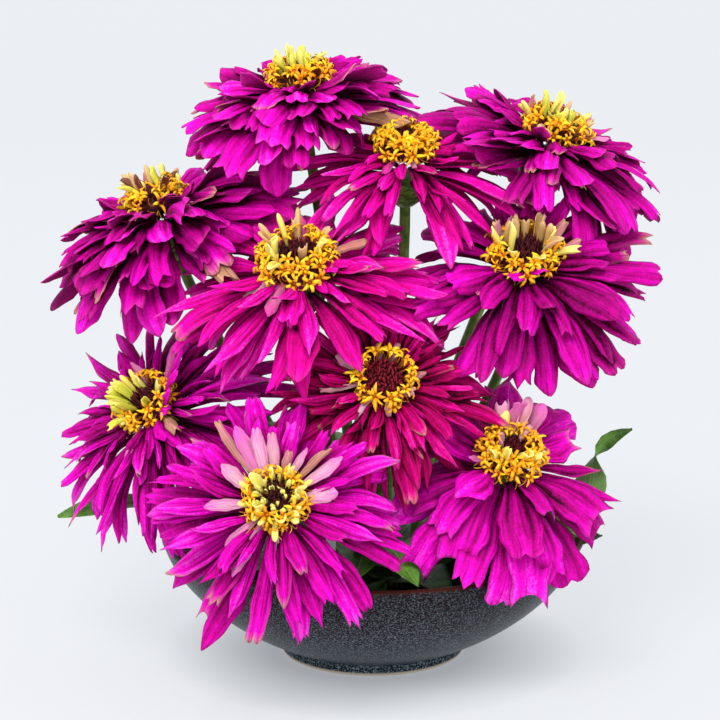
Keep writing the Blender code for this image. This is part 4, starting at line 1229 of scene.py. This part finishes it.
def glazeMaterial():
    # Glazed stoneware, thrown and fired: a deep speckled gloss that breaks to copper-brown where it thins
    # at the rim
    glaze = stonewareGlaze
    material, add = newMaterial("glazed_stoneware")
    solid, top = add("TexCoord", out="Object"), bowlHigh.z - bowlLow.z
    height = add("SeparateXYZ", (solid,), out="Z")
    speck = add("TexNoise", {"Vector": solid, "Scale": 1 / (glaze["grain"] * mm), "Detail": 2.0,
                             "Roughness": 0.7})
    cloud = add("TexNoise", {"Vector": solid, "Scale": 28.0, "Detail": 4.0})
    level = summed(add, 0, (height, 1 / top), (cloud, 0.1))
    base = add("ValToRGB", (level,), ((0.1, glaze["low"]), (0.6, glaze["body"]), (1.0, glaze["top"])))
    light = add("Math", (add("MapRange", (speck, 0.5, 0.64, 0, 0.9)),
                         add("MapRange", (level, 0.45, 1, 1, 0.35))), operation="MULTIPLY")
    dark = add("MapRange", (speck, 0.44, 0.3, 0, 0.8))
    rim = add("MapRange", (summed(add, height, (cloud, 0.0022)), top - 0.0006, top + 0.0006, 0, 0.9))
    bare = add("MapRange", (height, 0.0018, 0.0009))
    colour = layered(add, base, (light, glaze["speck"]), (dark, glaze["dark"]), (rim, glaze["rim"]),
                     (bare, glaze["bare"]))
    look = {"Base Color": colour, "Roughness": add("MapRange", (bare, 0, 1, 0.3, 0.8)), "IOR": 1.45,
            "Specular IOR Level": 0.05}
    return finished(material, look, (speck, 0.25, 0.0004))


def holderMaterial():
    # Cast brass dulled under water: brown-gold with darker patches
    material, add = newMaterial("dulled_cast_brass")
    patch = add("TexNoise", {"Vector": add("TexCoord", out="Object"), "Scale": 90.0, "Detail": 5.0})
    colour = add("ValToRGB", (patch,), ((0.35, "#5a4a2c"), (0.7, "#a8884a")))
    return finished(material, {"Base Color": colour, "Metallic": 1.0, "Roughness": 0.42})


def waterMaterial():
    # Still vase water: clear with a faint green from the stems
    return finished(newMaterial("still_vase_water")[0], {
        "Base Color": "#8c9c84", "Roughness": 0.02, "IOR": 1.333, "Transmission Weight": 1.0})


# Put together

print("materials")
discMaterials = {"chaff": chaffMaterial(), "stars": starMaterial(), "straps": strapMaterial()}
stemSkin, leafSkin = stemMaterial(), leafMaterial()
tissues = {shade: petalMaterial(f"{shade}_petal_skin", petalTissue[shade])
           for shade in ("magenta", "pink", "crimson")}

print("bowl, pin holder and water")
makeBowl(glazeMaterial())
makeHolder(holderMaterial())
makeWater(waterMaterial())

print("stems, cups, leaves and discs")
for flower in flowers.values():
    makeStem(flower, stemSkin, leafSkin)
    makeDisc(flower, discMaterials)

print("petals")
nodeTrees = {name: nodeTree(name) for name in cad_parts}
grown = []
for flower in flowers.values():
    others = [tree for name, tree in nodeTrees.items() if name != f"bloom_{flower.number}_petals"] + grown
    grown += growPetals(flower, others, tissues[bloomShades.get(flower.number, "magenta")])


# Floor, light and camera

studio = {
    "floor": "#7a7b7d",
    "glow": 0.70,
    # painted shadow: the sheet's glow is dimmer under the bowl, out to the reach below
    "under": "#b2b6bc",  # the sheet's glow under the bowl, and how far out it reaches the world's
    "paintedShadowReach": (0.05, 0.105),
    "world": "#f0f3f7",
    "worldStrength": 0.82,
    "flat": 2.2,
    "bend": 0.8,
    "wall": 2.4,
    "lights": (  # place, aim, size and power
        ("key", (-0.3, -1.1, 1.4), (0, 0, 0.1), (0.8, 0.7), 21),
        ("front", (0.3, -1.9, 0.6), (0, 0, 0.1), (2.0, 0.8), 7),
        ("right", (1.4, -0.6, 0.4), (0, 0, 0.05), (1.4, 0.6), 4),
        ("left", (-1.4, -0.6, 0.4), (0, 0, 0.05), (1.4, 0.6), 3),
        ("backdrop", (0, 0.9, 2.3), (0, 2.9, 0.9), (2.4, 0.6), 21),
    ),
    "target": (-0.0063, 0, 0.1447),  # the camera's, from the bowl's axis
    "rise": 12,
    "distance": 1.2,
    "lens": 124.5,
}


def paperMaterial():
    # Matt white sheet that glows a little by itself, as if lit from below, so that shadows on it stay faint;
    # its glow is dimmer under the bowl, which is a painted shadow
    material, add = newMaterial("glowing_acrylic_painted_shadow")
    away = add("VectorMath", (add("TexCoord", out="Object"), bowlAxis), out="Value", operation="DISTANCE")
    glow = add("ValToRGB", (add("MapRange", (away, *studio["paintedShadowReach"])),),
               ((0.0, studio["under"]), (1.0, studio["world"])))
    return finished(material, {"Base Color": studio["floor"], "Roughness": 0.9, "Specular IOR Level": 0.1,
                               "Emission Color": glow, "Emission Strength": studio["glow"]})


def makeFloor():
    # A round floor that curves up into a low wall on every side
    flat, bend = studio["flat"], studio["bend"]
    angles = [math.pi / 24 * k for k in range(1, 13)]
    profile = [(0, 0), (flat, 0), *((flat + bend * math.sin(a), bend - bend * math.cos(a)) for a in angles),
               (flat + bend, studio["wall"])]
    addMesh("acrylic_cove", *latheShape(profile, 96), paperMaterial())


def facing(thing, sight):
    thing.rotation_euler = sight.to_track_quat("-Z", "Y").to_euler()


def addLight(name, place, aim, size, power):
    light = bpy.data.lights.new(name, "AREA")
    light.shape, light.energy = "RECTANGLE", power
    light.size, light.size_y = size
    lamp = addObject(name, light)
    lamp.location = place
    facing(lamp, Vector(aim) - Vector(place))


def setCamera():
    rise = math.radians(studio["rise"])
    sight = Vector((0, math.cos(rise), -math.sin(rise)))
    data = bpy.data.cameras.new("camera")
    data.lens, data.sensor_width = studio["lens"], 36
    data.clip_start, data.clip_end = 0.05, 20
    camera = addObject("camera", data)
    camera.location = bowlAxis + Vector(studio["target"]) - sight * studio["distance"]
    facing(camera, sight)
    bpy.context.scene.camera = camera


print("floor, light and camera")
makeFloor()
world = bpy.data.worlds.new("pale_room")
bpy.context.scene.world = world
world.use_nodes = True
backdrop = {"Color": studio["world"], "Strength": studio["worldStrength"]}
feed(world.node_tree, world.node_tree.nodes["Background"], backdrop)
for light in studio["lights"]:
    addLight(*light)
setCamera()
bpy.context.scene.view_settings.view_transform = "Standard"
bpy.context.scene.view_settings.look = "None"
